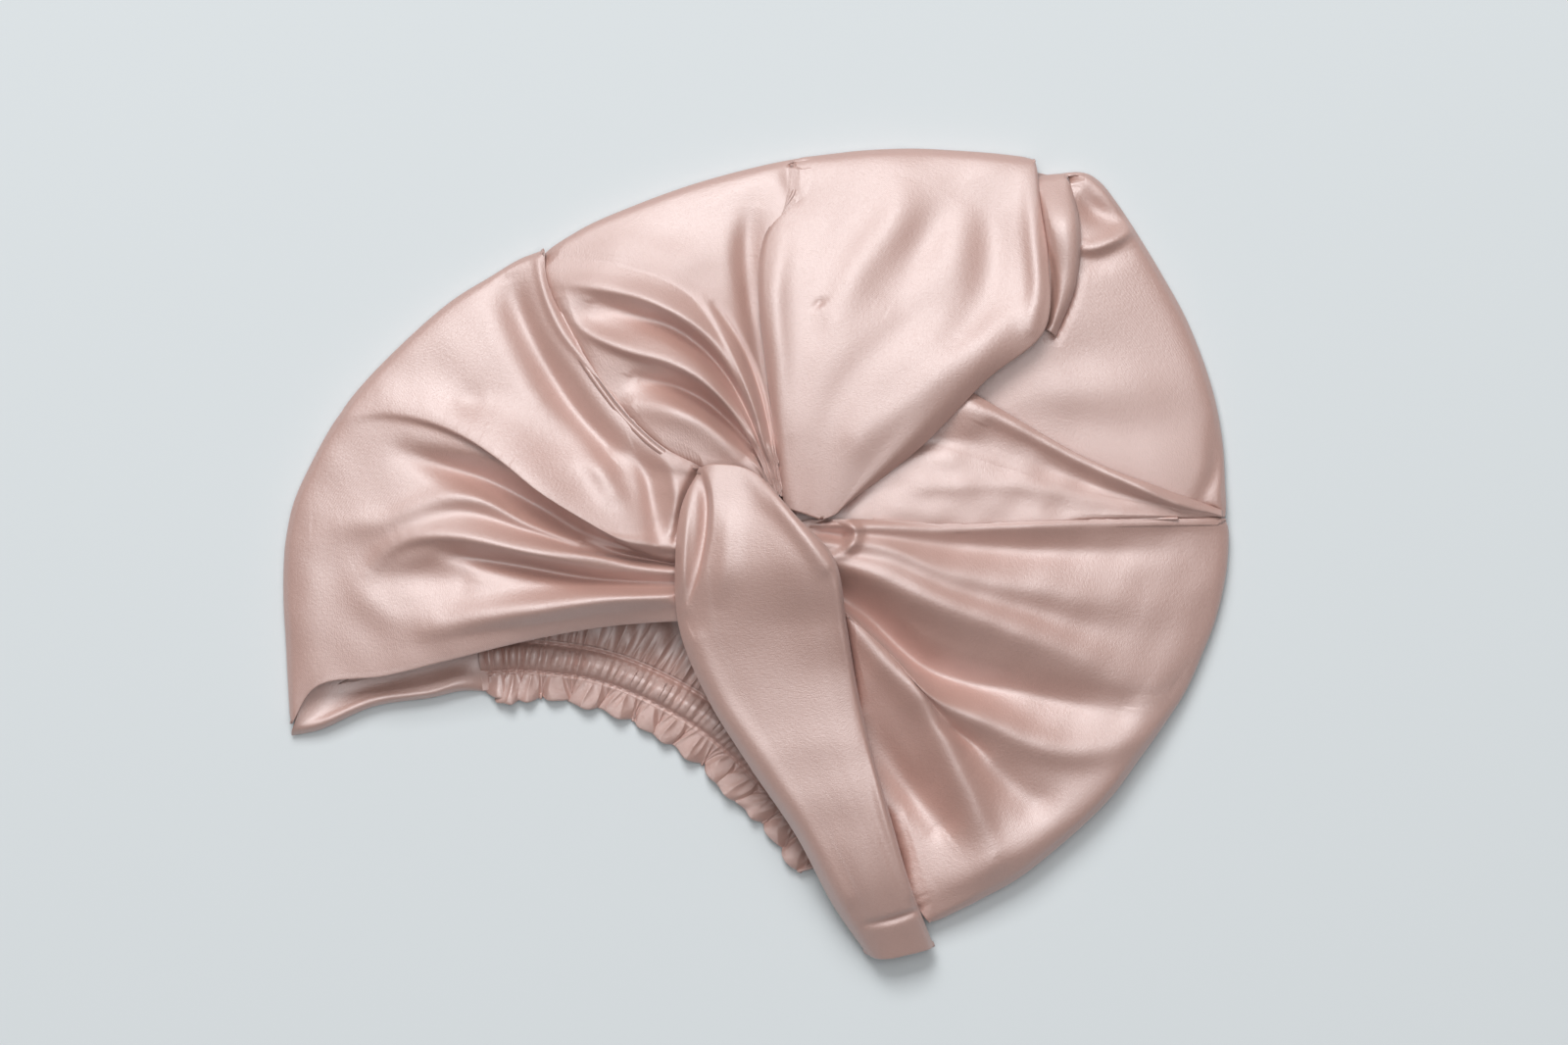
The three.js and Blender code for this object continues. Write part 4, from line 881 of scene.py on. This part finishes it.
class Link:
    """A socket of a material's nodes. Sums, differences and products of it add their Math nodes."""

    def __init__(self, finish, socket):
        self.finish, self.socket = finish, socket

    def _math(self, operation, *values):
        return self.finish.node("ShaderNodeMath", {"operation": operation}, dict(enumerate(values)))

    def __add__(self, other):
        return self._math("ADD", self, other)

    def __sub__(self, other):
        return self._math("SUBTRACT", self, other)

    def __rsub__(self, other):
        return self._math("SUBTRACT", other, self)

    def __mul__(self, other):
        return self._math("MULTIPLY", self, other)

    __radd__ = __add__
    __rmul__ = __mul__

    def sine(self):
        return self._math("SINE", self)


class Finish:
    """A procedural material and its nodes."""

    def __init__(self, name):
        self.material = bpy.data.materials.new(name)
        self.material.use_nodes = True
        self.tree = self.material.node_tree
        self.tree.nodes.clear()

    def node(self, kind, settings, inputs, output=0):
        """A node of a kind, with its settings and with the values or links of its sockets."""
        made = self.tree.nodes.new(kind)
        for key, value in settings.items():
            setattr(made, key, value)
        for key, value in inputs.items():
            if isinstance(value, Link):
                self.tree.links.new(value.socket, made.inputs[key])
            else:
                made.inputs[key].default_value = value
        return Link(self, made.outputs[output])

    def on_object(self):
        return self.node("ShaderNodeTexCoord", {}, {}, "Object")

    def on_cloth(self, scales=(1.0, 1.0)):
        """Metres across and along the cloth, times scales."""
        uv = self.node("ShaderNodeTexCoord", {}, {}, "UV")
        return self.node("ShaderNodeVectorMath", {"operation": "MULTIPLY"}, {0: uv, 1: (*scales, 1.0)})

    def noise(self, vector, scale, detail, roughness):
        inputs = {"Vector": vector, "Scale": scale, "Detail": detail, "Roughness": roughness}
        return self.node("ShaderNodeTexNoise", {}, inputs)

    def bump(self, strength, depth, height):
        return self.node("ShaderNodeBump", {}, {"Strength": strength, "Distance": depth, "Height": height})

    def mix(self, factor, first, second):
        """A mix of two colours."""
        colours = {0: factor, 6: (*first, 1), 7: (*second, 1)}
        return self.node("ShaderNodeMix", {"data_type": "RGBA"}, colours, 2)

    def done(self, inputs):
        """The material, with a shader of these values and links."""
        shader = self.node("ShaderNodeBsdfPrincipled", {}, inputs)
        out = self.tree.nodes.new("ShaderNodeOutputMaterial")
        self.tree.links.new(shader.socket, out.inputs["Surface"])
        return self.material


def satin(name, colours, roughness, metallic):
    """Satin: long floats that catch the light, a fine warp and weft under them, and faintly uneven dye."""
    made = Finish(name)
    light, deep = colours
    on_object, on_cloth = made.on_object(), made.on_cloth()
    floats = made.noise(made.on_cloth(FLOAT_SCALES), 1.0, 2.0, 0.6)
    speckle = made.noise(on_object, SPECKLE_SCALE, 3.0, 0.75)
    cloud = made.noise(on_object, DYE_SCALE, 3.0, 0.5)
    across, along = (made.node("ShaderNodeSeparateXYZ", {}, {"Vector": on_cloth}, axis) for axis in (0, 1))
    warp = (across * (2 * math.pi / WARP_PITCH)).sine()
    weft = (along * (2 * math.pi / WEFT_PITCH)).sine()
    relief = floats * FLOAT_BUMP + speckle * SPECKLE_BUMP + warp * weft * WEAVE_BUMP
    bump = made.bump(WEAVE_STRENGTH, WEAVE_DEPTH, relief)
    dyed = cloud * DYE_TINT + speckle * SPECKLE_TINT + floats * FLOAT_TINT - TINT_LESS
    tint = made.node("ShaderNodeClamp", {}, {"Value": dyed})
    return made.done({
        "Metallic": metallic, "IOR": SATIN_IOR, "Specular Tint": (*SHEEN_TINT, 1), "Sheen Weight": 0.12,
        "Sheen Roughness": 0.4, "Coat Weight": 0.05, "Coat Roughness": 0.3, "Coat IOR": 1.6,
        "Base Color": made.mix(tint, deep, light), "Normal": bump,
        "Roughness": (roughness - ROUGHNESS_LESS) + floats * FLOAT_ROUGHNESS + speckle * SPECKLE_ROUGHNESS,
    })


def plain_thread(name, colours):
    """Spun cotton thread or knitted elastic, with a fine fuzz."""
    made = Finish(name)
    light, deep = colours
    fuzz = made.noise(made.on_object(), FUZZ_SCALE, 2.0, 0.6)
    return made.done({"Roughness": 0.75, "Sheen Weight": 0.2, "Base Color": made.mix(fuzz, deep, light),
                      "Normal": made.bump(0.4, FUZZ_DEPTH, fuzz)})


rose_satin = satin("rose_satin", ROSE_COLOURS, ROSE_ROUGHNESS, 0.0)
lining_satin = satin("lining_satin", LINING_COLOURS, LINING_ROUGHNESS, LINING_SHINE)
seam_thread = plain_thread("seam_thread", THREAD_COLOURS)
elastic_knit = plain_thread("elastic_knit", ELASTIC_COLOURS)


def new_object(name, mesh):
    """An object in the scene."""
    made = bpy.data.objects.new(name, mesh)
    bpy.context.collection.objects.link(made)
    return made


def finish_mesh(piece, material):
    """Applies the piece's modifiers and gives it its material."""
    evaluated = piece.evaluated_get(bpy.context.evaluated_depsgraph_get())
    mesh = bpy.data.meshes.new_from_object(evaluated)
    piece.modifiers.clear()
    piece.data = mesh
    mesh.materials.clear()
    mesh.materials.append(material)
    mesh.polygons.foreach_set("use_smooth", np.ones(len(mesh.polygons), bool))
    mesh.update()


def cloth_piece(node, grid, ending="cloth", material=rose_satin, body="bonnet",
                thickness=CLOTH, closed=False):
    """A piece of cloth from a grid of points, which stands for a node of the model.

    It has the node's name with an ending. Its UV map runs in metres along and across the grid."""
    name = f"{node}_{ending}"
    grid = grid.copy()
    grid[..., 2] = np.maximum(grid[..., 2], thickness + TABLE_GAP)
    rows, columns = grid.shape[:2]
    faces = grid_faces(rows, columns, closed)
    points = grid.reshape(-1, 3)
    a, b, c, d = (points[faces[:, n]] for n in range(4))
    if np.cross(c - a, d - b)[:, 2].sum() < 0:
        faces = faces[:, ::-1]
    mesh = bpy.data.meshes.new(name)
    mesh.from_pydata(points.tolist(), [], faces.tolist())
    mesh.update()
    lengths = sums(steps_of(grid))
    widths = sums(steps_of(grid, 1), 1)
    flat = np.stack([widths.mean(axis=0)[None, :].repeat(rows, 0), lengths], axis=-1).reshape(-1, 2)
    loops = np.empty(len(mesh.loops), np.int32)
    mesh.loops.foreach_get("vertex_index", loops)
    mesh.uv_layers.new(name="cloth").data.foreach_set("uv", flat[loops].astype(np.float32).ravel())
    mesh.polygons.foreach_set("use_smooth", np.ones(len(mesh.polygons), bool))
    piece = new_object(name, mesh)
    if thickness:
        wall = piece.modifiers.new("cloth thickness", "SOLIDIFY")
        wall.thickness = thickness
        wall.offset = -1
        wall.use_even_offset = False
    finish_mesh(piece, material)
    if body:
        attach(piece, body)
    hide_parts(node)
    return piece


# Fold lines, strokes, points along and across, and the slope of the rim, where the panel reaches the outline
PANELS = {
    "wrap": (TWIST_WRAP_FOLD_SHARES, TWIST_WRAP_STROKE_SHARES, 240, 130, None),
    "right_front": (RIGHT_FRONT_FOLD_SHARES, RIGHT_FRONT_STROKE_SHARES, 210, 220, RIM_SLOPE),
    "left_front": (LEFT_FRONT_FOLD_SHARES, LEFT_FRONT_STROKE_SHARES, 230, 260, RIM_SLOPE),
    "lobe": (CROWN_LOBE_FOLD_SHARES, CROWN_LOBE_STROKE_SHARES, 200, 160, LOBE_RIM_SLOPE),
    "crown_left": (CROWN_LEFT_FOLD_SHARES, CROWN_LEFT_STROKE_SHARES, 200, 230, RIM_SLOPE),
    "crown_pleat": (CROWN_PLEAT_FOLD_SHARES, CROWN_PLEAT_STROKE_SHARES, 190, 110, None),
    "flap": (CROWN_FLAP_FOLD_SHARES, CROWN_FLAP_STROKE_SHARES, 130, 80, FLAP_RIM_SLOPE),
    "crown_right": (CROWN_RIGHT_FOLD_SHARES, CROWN_RIGHT_STROKE_SHARES, 170, 190, RIM_SLOPE),
}


def panel_skin(panel):
    """Upper face of a panel, with its folds, its pleats beside the knot and its ripples."""
    folds, strokes, along, across, slope = PANELS[panel]
    grid = skin(folds, along, across)
    if slope:
        grid = rimmed(grid, slope)
    grid = shaped(grid, strokes)
    if panel in GATHERS:
        grid = gathered(grid, *GATHERS[panel])
    return ripples(grid, panel) if panel in RIPPLES else grid


# Panels, from the top of the stack down. Each is tucked under those that lie over it.
wrap_grid = rolled(panel_skin("wrap"), "left", WRAP_RADIUS)
wrap_grid = rolled(wrap_grid, "right", WRAP_FALL, profile=WRAP_FALL_SHARES, width_share=WRAP_FALL_WIDTH_SHARE)
for side in ("last", "first"):
    wrap_grid = rolled(wrap_grid, side, WRAP_RADIUS)
right_front_grid, left_front_grid = (
    edged(tucked(panel_skin(panel), [wrap_grid]), ["left", "right", "first"], profile=SEAM_PROFILE_SHARES)
    for panel in ("right_front", "left_front")
)

crown_left_skin = panel_skin("crown_left")
lobe_skin = melded(tucked(panel_skin("lobe"), [wrap_grid, right_front_grid], spread=0), crown_left_skin)
lobe_grid = edged(lobe_skin, ["left", "right", "first"], LOBE_RADIUS, LOBE_PROFILE_SHARES)
lobe_cover = lifted(lobe_grid, MELD_COVER * meld_weight(len(lobe_grid))[:, None])
crown_left_skin = tucked(crown_left_skin, [wrap_grid, left_front_grid])
crown_left_grid = edged(tucked(crown_left_skin, [lobe_cover], spread=0), ["first"])
crown_pleat_skin = tucked(panel_skin("crown_pleat"), [wrap_grid, lobe_grid, right_front_grid])
crown_pleat_grid = rolled(crown_pleat_skin, "left", FOLD_RADIUS)
flap_grid = edged(tucked(panel_skin("flap"), [lobe_grid]), ["right", "first"], SEAM_RADIUS)
crown_right_covers = [lobe_grid, flap_grid, crown_pleat_grid, right_front_grid]
crown_right_grid = edged(tucked(panel_skin("crown_right"), crown_right_covers), ["first"])

for node, grid in (
    ("twist_wrap", wrap_grid), ("crown_centre_pleat", lobe_grid), ("crown_return_fold", flap_grid),
    ("right_front_panel", right_front_grid), ("left_front_panel", left_front_grid),
    ("crown_right_pleat", crown_pleat_grid), ("crown_left_panel", crown_left_grid),
    ("crown_right_panel", crown_right_grid),
):
    cloth_piece(node, grid)


# Seam welts: a narrow strip of cloth folded over a cord, half sunk in the seam
def welt(node, fold_shares):
    """A seam's welt along a panel's first fold line."""
    line = lifted(smooth_through(fold_line(fold_shares[1:-1]), WELT_POINTS), WELT_LIFT)
    ways = headings(line)
    side = unit(np.cross(ways, [0.0, 0.0, 1.0]))
    up = np.cross(side, ways)
    bead = WELT_RADIUS * (1 + WELT_BEAD_SHARE * np.sin(np.arange(len(line)) * WELT_BEAD_TURN))[:, None]
    angles = np.linspace(-WELT_WRAP, WELT_WRAP, WELT_ROWS)
    rows = [line + (side * math.sin(angle) + up * math.cos(angle)) * bead for angle in angles]
    cloth_piece(node, np.array(rows), "welt", thickness=WELT_CLOTH)


welt("left_crown_seam", LEFT_FRONT_FOLD_SHARES[0])
welt("right_crown_seam", RIGHT_FRONT_FOLD_SHARES[0])


# Knot core: the gathered ends of the front panels, twisted round each other into a soft lump
def knot_core():
    """The lump under the wrap, with the folds of the cloth winding round it."""
    rows, columns = CORE_GRID
    turns = np.arange(columns) * 2 * math.pi / columns
    rise, turn = np.meshgrid(np.linspace(CORE_POLE, math.pi - CORE_POLE, rows), turns, indexing="ij")
    lengthways = np.cos(rise)
    lumps = np.ones(CORE_GRID)
    for depth, count, twist, power in CORE_FOLD_SHARES:
        lumps -= depth * (0.5 - 0.5 * np.cos(count * turn + twist * lengthways)) ** power * np.sin(rise)
    x = CORE_WIDTH / 2 * np.sin(rise) * np.cos(turn) * lumps
    z = CORE_HEIGHT / 2 * np.sin(rise) * np.sin(turn) * lumps
    y = CORE_LENGTH / 2 * lengthways
    turned_x = x * math.cos(CORE_TURN) - y * math.sin(CORE_TURN)
    turned_y = x * math.sin(CORE_TURN) + y * math.cos(CORE_TURN)
    grid = np.stack([turned_x, turned_y, z], axis=-1) + place(*CORE_PX, CORE_BOTTOM + CORE_HEIGHT / 2)
    piece = cloth_piece("knot_core", grid, "folds", thickness=0, closed=True)
    shell = bmesh.new()
    shell.from_mesh(piece.data)
    bmesh.ops.holes_fill(shell, edges=[edge for edge in shell.edges if edge.is_boundary])
    bmesh.ops.recalc_face_normals(shell, faces=shell.faces)
    shell.to_mesh(piece.data)
    shell.free()


knot_core()


# Nape band: one gathered cloth over the elastic, drawn up by two rows of stitches
def pleat_wave(pleats, along):
    """The angle and the depth of uneven pleats at distances along the band."""
    ends, depths = pleats
    return 2 * math.pi * np.interp(along, ends, np.arange(len(ends))), np.interp(along, ends, depths)


def band_grid(near, far, size):
    """Shares of the way along the band and distances away from the head, for a grid of a size."""
    rows, columns = size
    return np.meshgrid(np.linspace(0, 1, rows), np.linspace(near, far, columns), indexing="ij")


class Band:
    """The nape band's surface, for a share of the way along it and a distance away from the head."""

    def __init__(self):
        self.line = plan_line(BAND_PX, BAND_POINTS)
        self.away = rightward(headings(self.line))
        self.length = steps_of(self.line).sum()
        chance = np.random.default_rng(BAND_SEED)
        self.small = self.pleats(chance, *SMALL_PLEATS)
        self.large = self.pleats(chance, *LARGE_PLEATS)
        self.loose = self.pleats(chance, *LOOSE_PLEATS)
        self.skew = np.cumsum(chance.normal(0, 1, 60))
        self.skew = BAND_SKEW_SHARE * self.skew / np.abs(self.skew).max()
        self.slant = chance.uniform(-1, 1, len(self.large[0]))
        self.spread = chance.uniform(-1, 1, len(self.large[0]))

    def pleats(self, chance, narrow, wide):
        """Uneven pleats along the band: where each ends, and how deep it is."""
        ends = [0.0]
        while ends[-1] < self.length:
            ends.append(ends[-1] + chance.uniform(narrow, wide))
        return np.array(ends), chance.uniform(*BAND_DEPTH_SHARES, len(ends))

    def points(self, share, reach, height):
        """Points at shares along the band, distances away from the head and heights."""
        index = share * (len(self.line) - 1)
        i = np.clip(index.astype(int), 0, len(self.line) - 2)
        part = (index - i)[..., None]
        middle = self.line[i] * (1 - part) + self.line[i + 1] * part
        way = self.away[i] * (1 - part) + self.away[i + 1] * part
        return np.concatenate([middle + way * reach[..., None], height[..., None]], axis=-1)

    def at(self, share, away):
        """Points of the gathered surface, at shares along the band and distances away from the head."""
        skew = np.interp(share, np.linspace(0, 1, len(self.skew)), self.skew)
        along = share * self.length
        small, small_depth = pleat_wave(self.small, along + skew * away)
        large, large_depth = pleat_wave(self.large, along + skew * away * 0.5)
        loose, loose_depth = pleat_wave(self.loose, along - skew * away)
        pleat = large / (2 * math.pi)
        slant = np.interp(pleat, np.arange(len(self.slant)), self.slant)
        spread = np.interp(pleat, np.arange(len(self.spread)), self.spread)
        inner = np.clip((-CASING_HALF - away) / GATHER_FADE, 0, 1)
        outer = np.clip((away - CASING_HALF) / FRILL_WIDTH, 0, 1)
        channel = np.clip(1 - (np.abs(away) / STITCH_OFFSET) ** 2, 0, 1)
        pinch = np.exp(-(((np.abs(away) - STITCH_OFFSET) / STITCH_PINCH) ** 2))
        height = BAND_LOW + CHANNEL_PUFF * channel ** 0.6
        # Channel: short pleats over the elastic, between puffs where the cloth is slack
        ridge = 1 - np.abs(np.sin(small / 2)) ** 0.8
        slack = 0.5 + 0.5 * np.sin(large + 1.3)
        pleated = CHANNEL_PLEAT * np.interp(share, *zip(*CHANNEL_PLEAT_SHARES)) * small_depth * (ridge - 0.4)
        pleated *= 1 - 0.6 * slack
        height += (0.45 + 0.9 * channel) * pleated * (1 - outer) * (1 - inner)
        height += 0.75 * CHANNEL_PLEAT * channel * slack * loose_depth
        # Inside it the pleats run together into loose puffs and die out on the apron
        puff = np.sin(math.pi * np.clip(inner * 1.5, 0, 1)) * (0.2 + 0.8 * np.sin(loose / 2) ** 2)
        height += GATHER_PUFF * (puff * loose_depth)
        height += 0.7 * CHANNEL_PLEAT * small_depth * (ridge - 0.4) * (1 - inner) ** 5 * (inner > 0)
        height -= (BAND_LOW - APRON_LOW) * inner
        # Beyond it they open into the frill: flutes of all widths that lean over the valleys between them
        swing = outer ** 0.8
        begin = np.clip(along / FRILL_BEGIN, 0, 1)
        leaned = large + 0.8 * slant * np.sin(large)
        flute = (0.5 + 0.5 * np.cos(leaned)) ** 1.1
        curl = np.cos(2 * large + 2.4 * slant)
        fan = 1 - np.abs(np.sin(loose + 0.5 * large)) ** 0.8
        droop = 1 - FRILL_DROOP_SHARE * np.clip(outer * 2.5 - 1.5, 0, 1) ** 2
        lift = flute * FRILL_RISE * (0.45 + 0.55 * large_depth) * droop * (0.3 + 0.7 * begin)
        height = height * (1 - swing) + swing * (FRILL_LOW + lift + FRILL_CURL_RISE * (1 + curl) * outer)
        height += CHANNEL_PLEAT * small_depth * (ridge - 0.4) * swing * (1 - outer) ** 2 * 1.6
        height += 0.9 * CHANNEL_PLEAT * loose_depth * (fan - 0.5) * swing * (1 - 0.6 * swing)
        height -= 0.45 * CHANNEL_PLEAT * pinch
        shift = swing * FRILL_FOLD * (np.sin(leaned) * (0.35 + 0.65 * large_depth) + 0.9 * slant * outer)
        shift += 0.35 * channel * CHANNEL_PLEAT * np.sin(small)
        wander = FRILL_WAVE * (flute * large_depth - 0.45) + FRILL_SPREAD * spread + FRILL_CURL * curl
        reach = away + swing * wander
        reach -= (1 - begin) * 0.5 * outer * FRILL_WIDTH
        return self.points(np.clip((along + shift) / self.length, 0, 1), reach, np.maximum(height, FRILL_LOW))

    def strip(self, near, far, size):
        """A strip of the gathered surface between two distances away from the head."""
        return self.at(*band_grid(near, far, size))

    def flat(self, half, height, wave, size):
        """A flat strip under the gathered cloth, with the fine waves of a knit."""
        share, away = band_grid(-half, half, size)
        return self.points(share, away, height + wave * np.sin(share * self.length / KNIT_PITCH))


band = Band()
frill_grid = band.strip(CASING_HALF, CASING_HALF + FRILL_WIDTH, FRILL_GRID)
frill_grid = rolled(frill_grid, "right", FRILL_EDGE_RADIUS, tuck=FRILL_EDGE_TUCK, pulled=FRILL_EDGE_PULLED)
under_grid = band.flat(CASING_HALF, CASING_UNDER_LEVEL, CASING_UNDER_WAVE, CASING_UNDER_GRID)
elastic_grid = band.flat(ELASTIC_HALF, ELASTIC_LEVEL, ELASTIC_WAVE, ELASTIC_GRID)
for node, ending, grid in (
    ("nape_casing_top", "ruched", band.strip(-CASING_HALF, CASING_HALF, CASING_GRID)),
    ("nape_frill", "ruffled", frill_grid),
    ("nape_gathers", "cloth", band.strip(-CASING_HALF - APRON_REACH, -CASING_HALF, APRON_GRID)),
    ("nape_casing_under", "cloth", under_grid),
):
    cloth_piece(node, grid, ending, body="nape_band")
cloth_piece("nape_elastic", elastic_grid, "knit", elastic_knit, "nape_band", ELASTIC_CLOTH)


# Stitches: one short dash of thread, set along a row on the band
def stitch_nodes():
    """Geometry Nodes that set dashes of thread along a line of points."""
    group = bpy.data.node_groups.new("running stitches", "GeometryNodeTree")
    for name, way, kind in (
        ("Geometry", "INPUT", "Geometry"), ("Stitches", "INPUT", "Int"), ("Length", "INPUT", "Float"),
        ("Thickness", "INPUT", "Float"), ("Material", "INPUT", "Material"),
        ("Geometry", "OUTPUT", "Geometry"),
    ):
        group.interface.new_socket(name, in_out=way, socket_type="NodeSocket" + kind)
    made = {}
    for key, kind in (
        ("in", "NodeGroupInput"), ("curve", "GeometryNodeMeshToCurve"),
        ("resample", "GeometryNodeResampleCurve"), ("dash", "GeometryNodeMeshUVSphere"),
        ("shape", "ShaderNodeCombineXYZ"), ("scaled", "GeometryNodeTransform"),
        ("tangent", "GeometryNodeInputTangent"), ("turn", "FunctionNodeAlignRotationToVector"),
        ("points", "GeometryNodeInstanceOnPoints"), ("real", "GeometryNodeRealizeInstances"),
        ("material", "GeometryNodeSetMaterial"), ("out", "NodeGroupOutput"),
    ):
        made[key] = group.nodes.new(kind)
    for key, value in (("Segments", 8), ("Rings", 6), ("Radius", 0.5)):
        made["dash"].inputs[key].default_value = value
    made["turn"].axis = "X"
    for start, output, end, entry in (
        ("in", "Geometry", "curve", "Mesh"), ("curve", 0, "resample", "Curve"),
        ("in", "Stitches", "resample", "Count"), ("in", "Length", "shape", 0),
        ("in", "Thickness", "shape", 1), ("in", "Thickness", "shape", 2),
        ("dash", "Mesh", "scaled", "Geometry"), ("shape", 0, "scaled", "Scale"),
        ("tangent", 0, "turn", "Vector"), ("resample", 0, "points", "Points"),
        ("scaled", 0, "points", "Instance"), ("turn", 0, "points", "Rotation"),
        ("points", 0, "real", 0), ("real", 0, "material", "Geometry"),
        ("in", "Material", "material", "Material"), ("material", 0, "out", 0),
    ):
        group.links.new(made[start].outputs[output], made[end].inputs[entry])
    return group


running_stitches = stitch_nodes()


def stitch_row(node, away):
    """A row of running stitches on the band."""
    name = f"{node}_thread"
    share = np.linspace(*STITCH_ENDS_SHARES, STITCH_POINTS)
    points = band.at(share, np.full_like(share, away))
    points[:, 2] = evened(points[:, 2], 6) + STITCH_LIFT
    mesh = bpy.data.meshes.new(name)
    mesh.from_pydata(points.tolist(), [(n, n + 1) for n in range(len(points) - 1)], [])
    piece = new_object(name, mesh)
    sewn = piece.modifiers.new("stitches", "NODES")
    sewn.node_group = running_stitches
    values = {"Stitches": STITCH_COUNT, "Length": STITCH_LENGTH, "Thickness": THREAD, "Material": seam_thread}
    for item in running_stitches.interface.items_tree:
        if item.in_out == "INPUT" and item.name in values:
            sewn[item.identifier] = values[item.name]
    finish_mesh(piece, seam_thread)
    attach(piece, "nape_band")
    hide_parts(node)


stitch_row("upper_stitch_row", -STITCH_OFFSET)
stitch_row("lower_stitch_row", STITCH_OFFSET)


# Back, linings and hems
lining_middle = place(*LINING_MIDDLE_PX)[:2]
inward_shares = np.concatenate([np.linspace(*steps) for steps in INWARD_SHARES])


def behind(line_px, away, count):
    """A line in plan, moved back from the mouth."""
    line = plan_line(line_px, count)
    return line - rightward(headings(line)) * away


def back_disc(inset, level, cloth):
    """A cloth of the back: the outline drawn in by an inset, with the mouth behind its hems and gathers."""
    crown = plan_line(OUTLINE_PX, BACK_CROWN_POINTS)
    inward = lining_middle - crown
    crown = crown + inward / np.linalg.norm(inward, axis=1, keepdims=True) * inset
    lines = (LEFT_HEM_PX, BAND_PX, RIGHT_HEM_PX)
    reaches = (HEM_REACH, CASING_HALF + BACK_BEHIND, HEM_REACH)
    mouth = [behind(line_px, reach + inset, count)
             for line_px, reach, count in zip(lines, reaches, BACK_MOUTH_POINTS)]
    ring = np.concatenate([crown, np.concatenate(mouth)[::-1]])
    plan = np.array([ring + (lining_middle - ring) * share for share in inward_shares])
    return ripples(np.concatenate([plan, np.full((*plan.shape[:2], 1), level)], axis=-1), cloth)


def front_lining():
    """The front lining: a low dome over the hollow, open at the mouth, with the slack of a loose lining."""
    crown = plan_line(OUTLINE_PX[1:-1], LINING_CROWN_POINTS)
    ring = np.concatenate([crown, plan_line(FRONT_HEM_PX[::-1], MOUTH_POINTS)])
    from_end = np.minimum(np.arange(MOUTH_POINTS), MOUTH_POINTS - 1 - np.arange(MOUTH_POINTS))
    open_share = np.concatenate([np.zeros(len(crown)), np.clip(from_end / MOUTH_EASE_POINTS, 0, 1)])
    way = lining_middle - ring
    start = LINING_INSET / np.linalg.norm(way, axis=1, keepdims=True)
    rows = []
    for share in inward_shares:
        rise = np.interp(share, *zip(*LINING_SLOPE_SHARES))
        level = LINING_LOW + (HOLLOW_CEILING - LINING_LOW) * np.maximum(rise, open_share)
        rows.append(np.concatenate([ring + way * (start + (1 - start) * share), level[:, None]], axis=-1))
    return ripples(np.array(rows), "front_lining")


cloth_piece("back_panel", back_disc(OUTLINE_RADIUS, BACK_LEVEL, "back"))
back_lining_grid = back_disc(LINING_INSET, BACK_LINING_LEVEL, "back_lining")
for node, grid in (("back_lining", back_lining_grid), ("front_lining", front_lining())):
    cloth_piece(node, grid, material=lining_satin)


def mouth_hem(node, fold_shares, ends_px):
    """A hem of the mouth between the bonnet and the nape band."""
    piece = cloth_piece(node, ripples(skin(fold_shares, *HEM_GRID), "hem"), body=None)
    start, end = (tuple(place(*end_px, HEM_LEVEL)) for end_px in ends_px)
    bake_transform(piece)


mouth_hem("nape_left_hem", LEFT_HEM_FOLD_SHARES, LEFT_HEM_ENDS_PX)
mouth_hem("nape_right_hem", RIGHT_HEM_FOLD_SHARES, RIGHT_HEM_ENDS_PX)


# Table, light and camera
def table_top():
    """A pale matt table, lit by the same lamps."""
    made = Finish("pale_table")
    grain = made.noise(made.on_object(), TABLE_GRAIN_SCALE, 2.0, 0.5)
    colour = made.mix(grain, [0.995 * part for part in TABLE_COLOUR], TABLE_COLOUR)
    mesh = bpy.data.meshes.new("table")
    half = TABLE_SIZE / 2
    corners = [(-half, -half, 0), (half, -half, 0), (half, half, 0), (-half, half, 0)]
    mesh.from_pydata(corners, [], [range(4)])
    mesh.materials.append(made.done({"Roughness": 0.9, "Specular IOR Level": 0.1, "Base Color": colour}))
    new_object("table", mesh)


def lamp(name, position, size, power):
    """A soft square lamp that looks at the middle of the table."""
    data = bpy.data.lights.new(name, "AREA")
    data.shape = "SQUARE"
    data.size = size
    data.energy = power
    made = new_object(name, data)
    made.location = position
    made.rotation_euler = (-Vector(position)).to_track_quat("-Z", "Y").to_euler()


table_top()
lamp("key_lamp", KEY_PLACE, KEY_SIZE, KEY_POWER)
lamp("top_lamp", TOP_PLACE, TOP_SIZE, TOP_POWER)

world = bpy.data.worlds.new("studio")
world.use_nodes = True
world.node_tree.nodes["Background"].inputs["Color"].default_value = (1, 1, 1, 1)
world.node_tree.nodes["Background"].inputs["Strength"].default_value = WORLD_STRENGTH
bpy.context.scene.world = world

camera_data = bpy.data.cameras.new("camera")
camera_data.lens = LENS_MM
camera_data.sensor_width = SENSOR_MM
camera_data.clip_end = SIGHT
camera = new_object("camera", camera_data)
x, y, _ = place(PICTURE_ACROSS_PX / 2, PICTURE_DOWN_PX / 2)
camera.location = (x, y, PICTURE_ACROSS_PX * SQUARE * LENS_MM / SENSOR_MM)
bpy.context.scene.camera = camera
bpy.context.scene.view_settings.view_transform = "Standard"
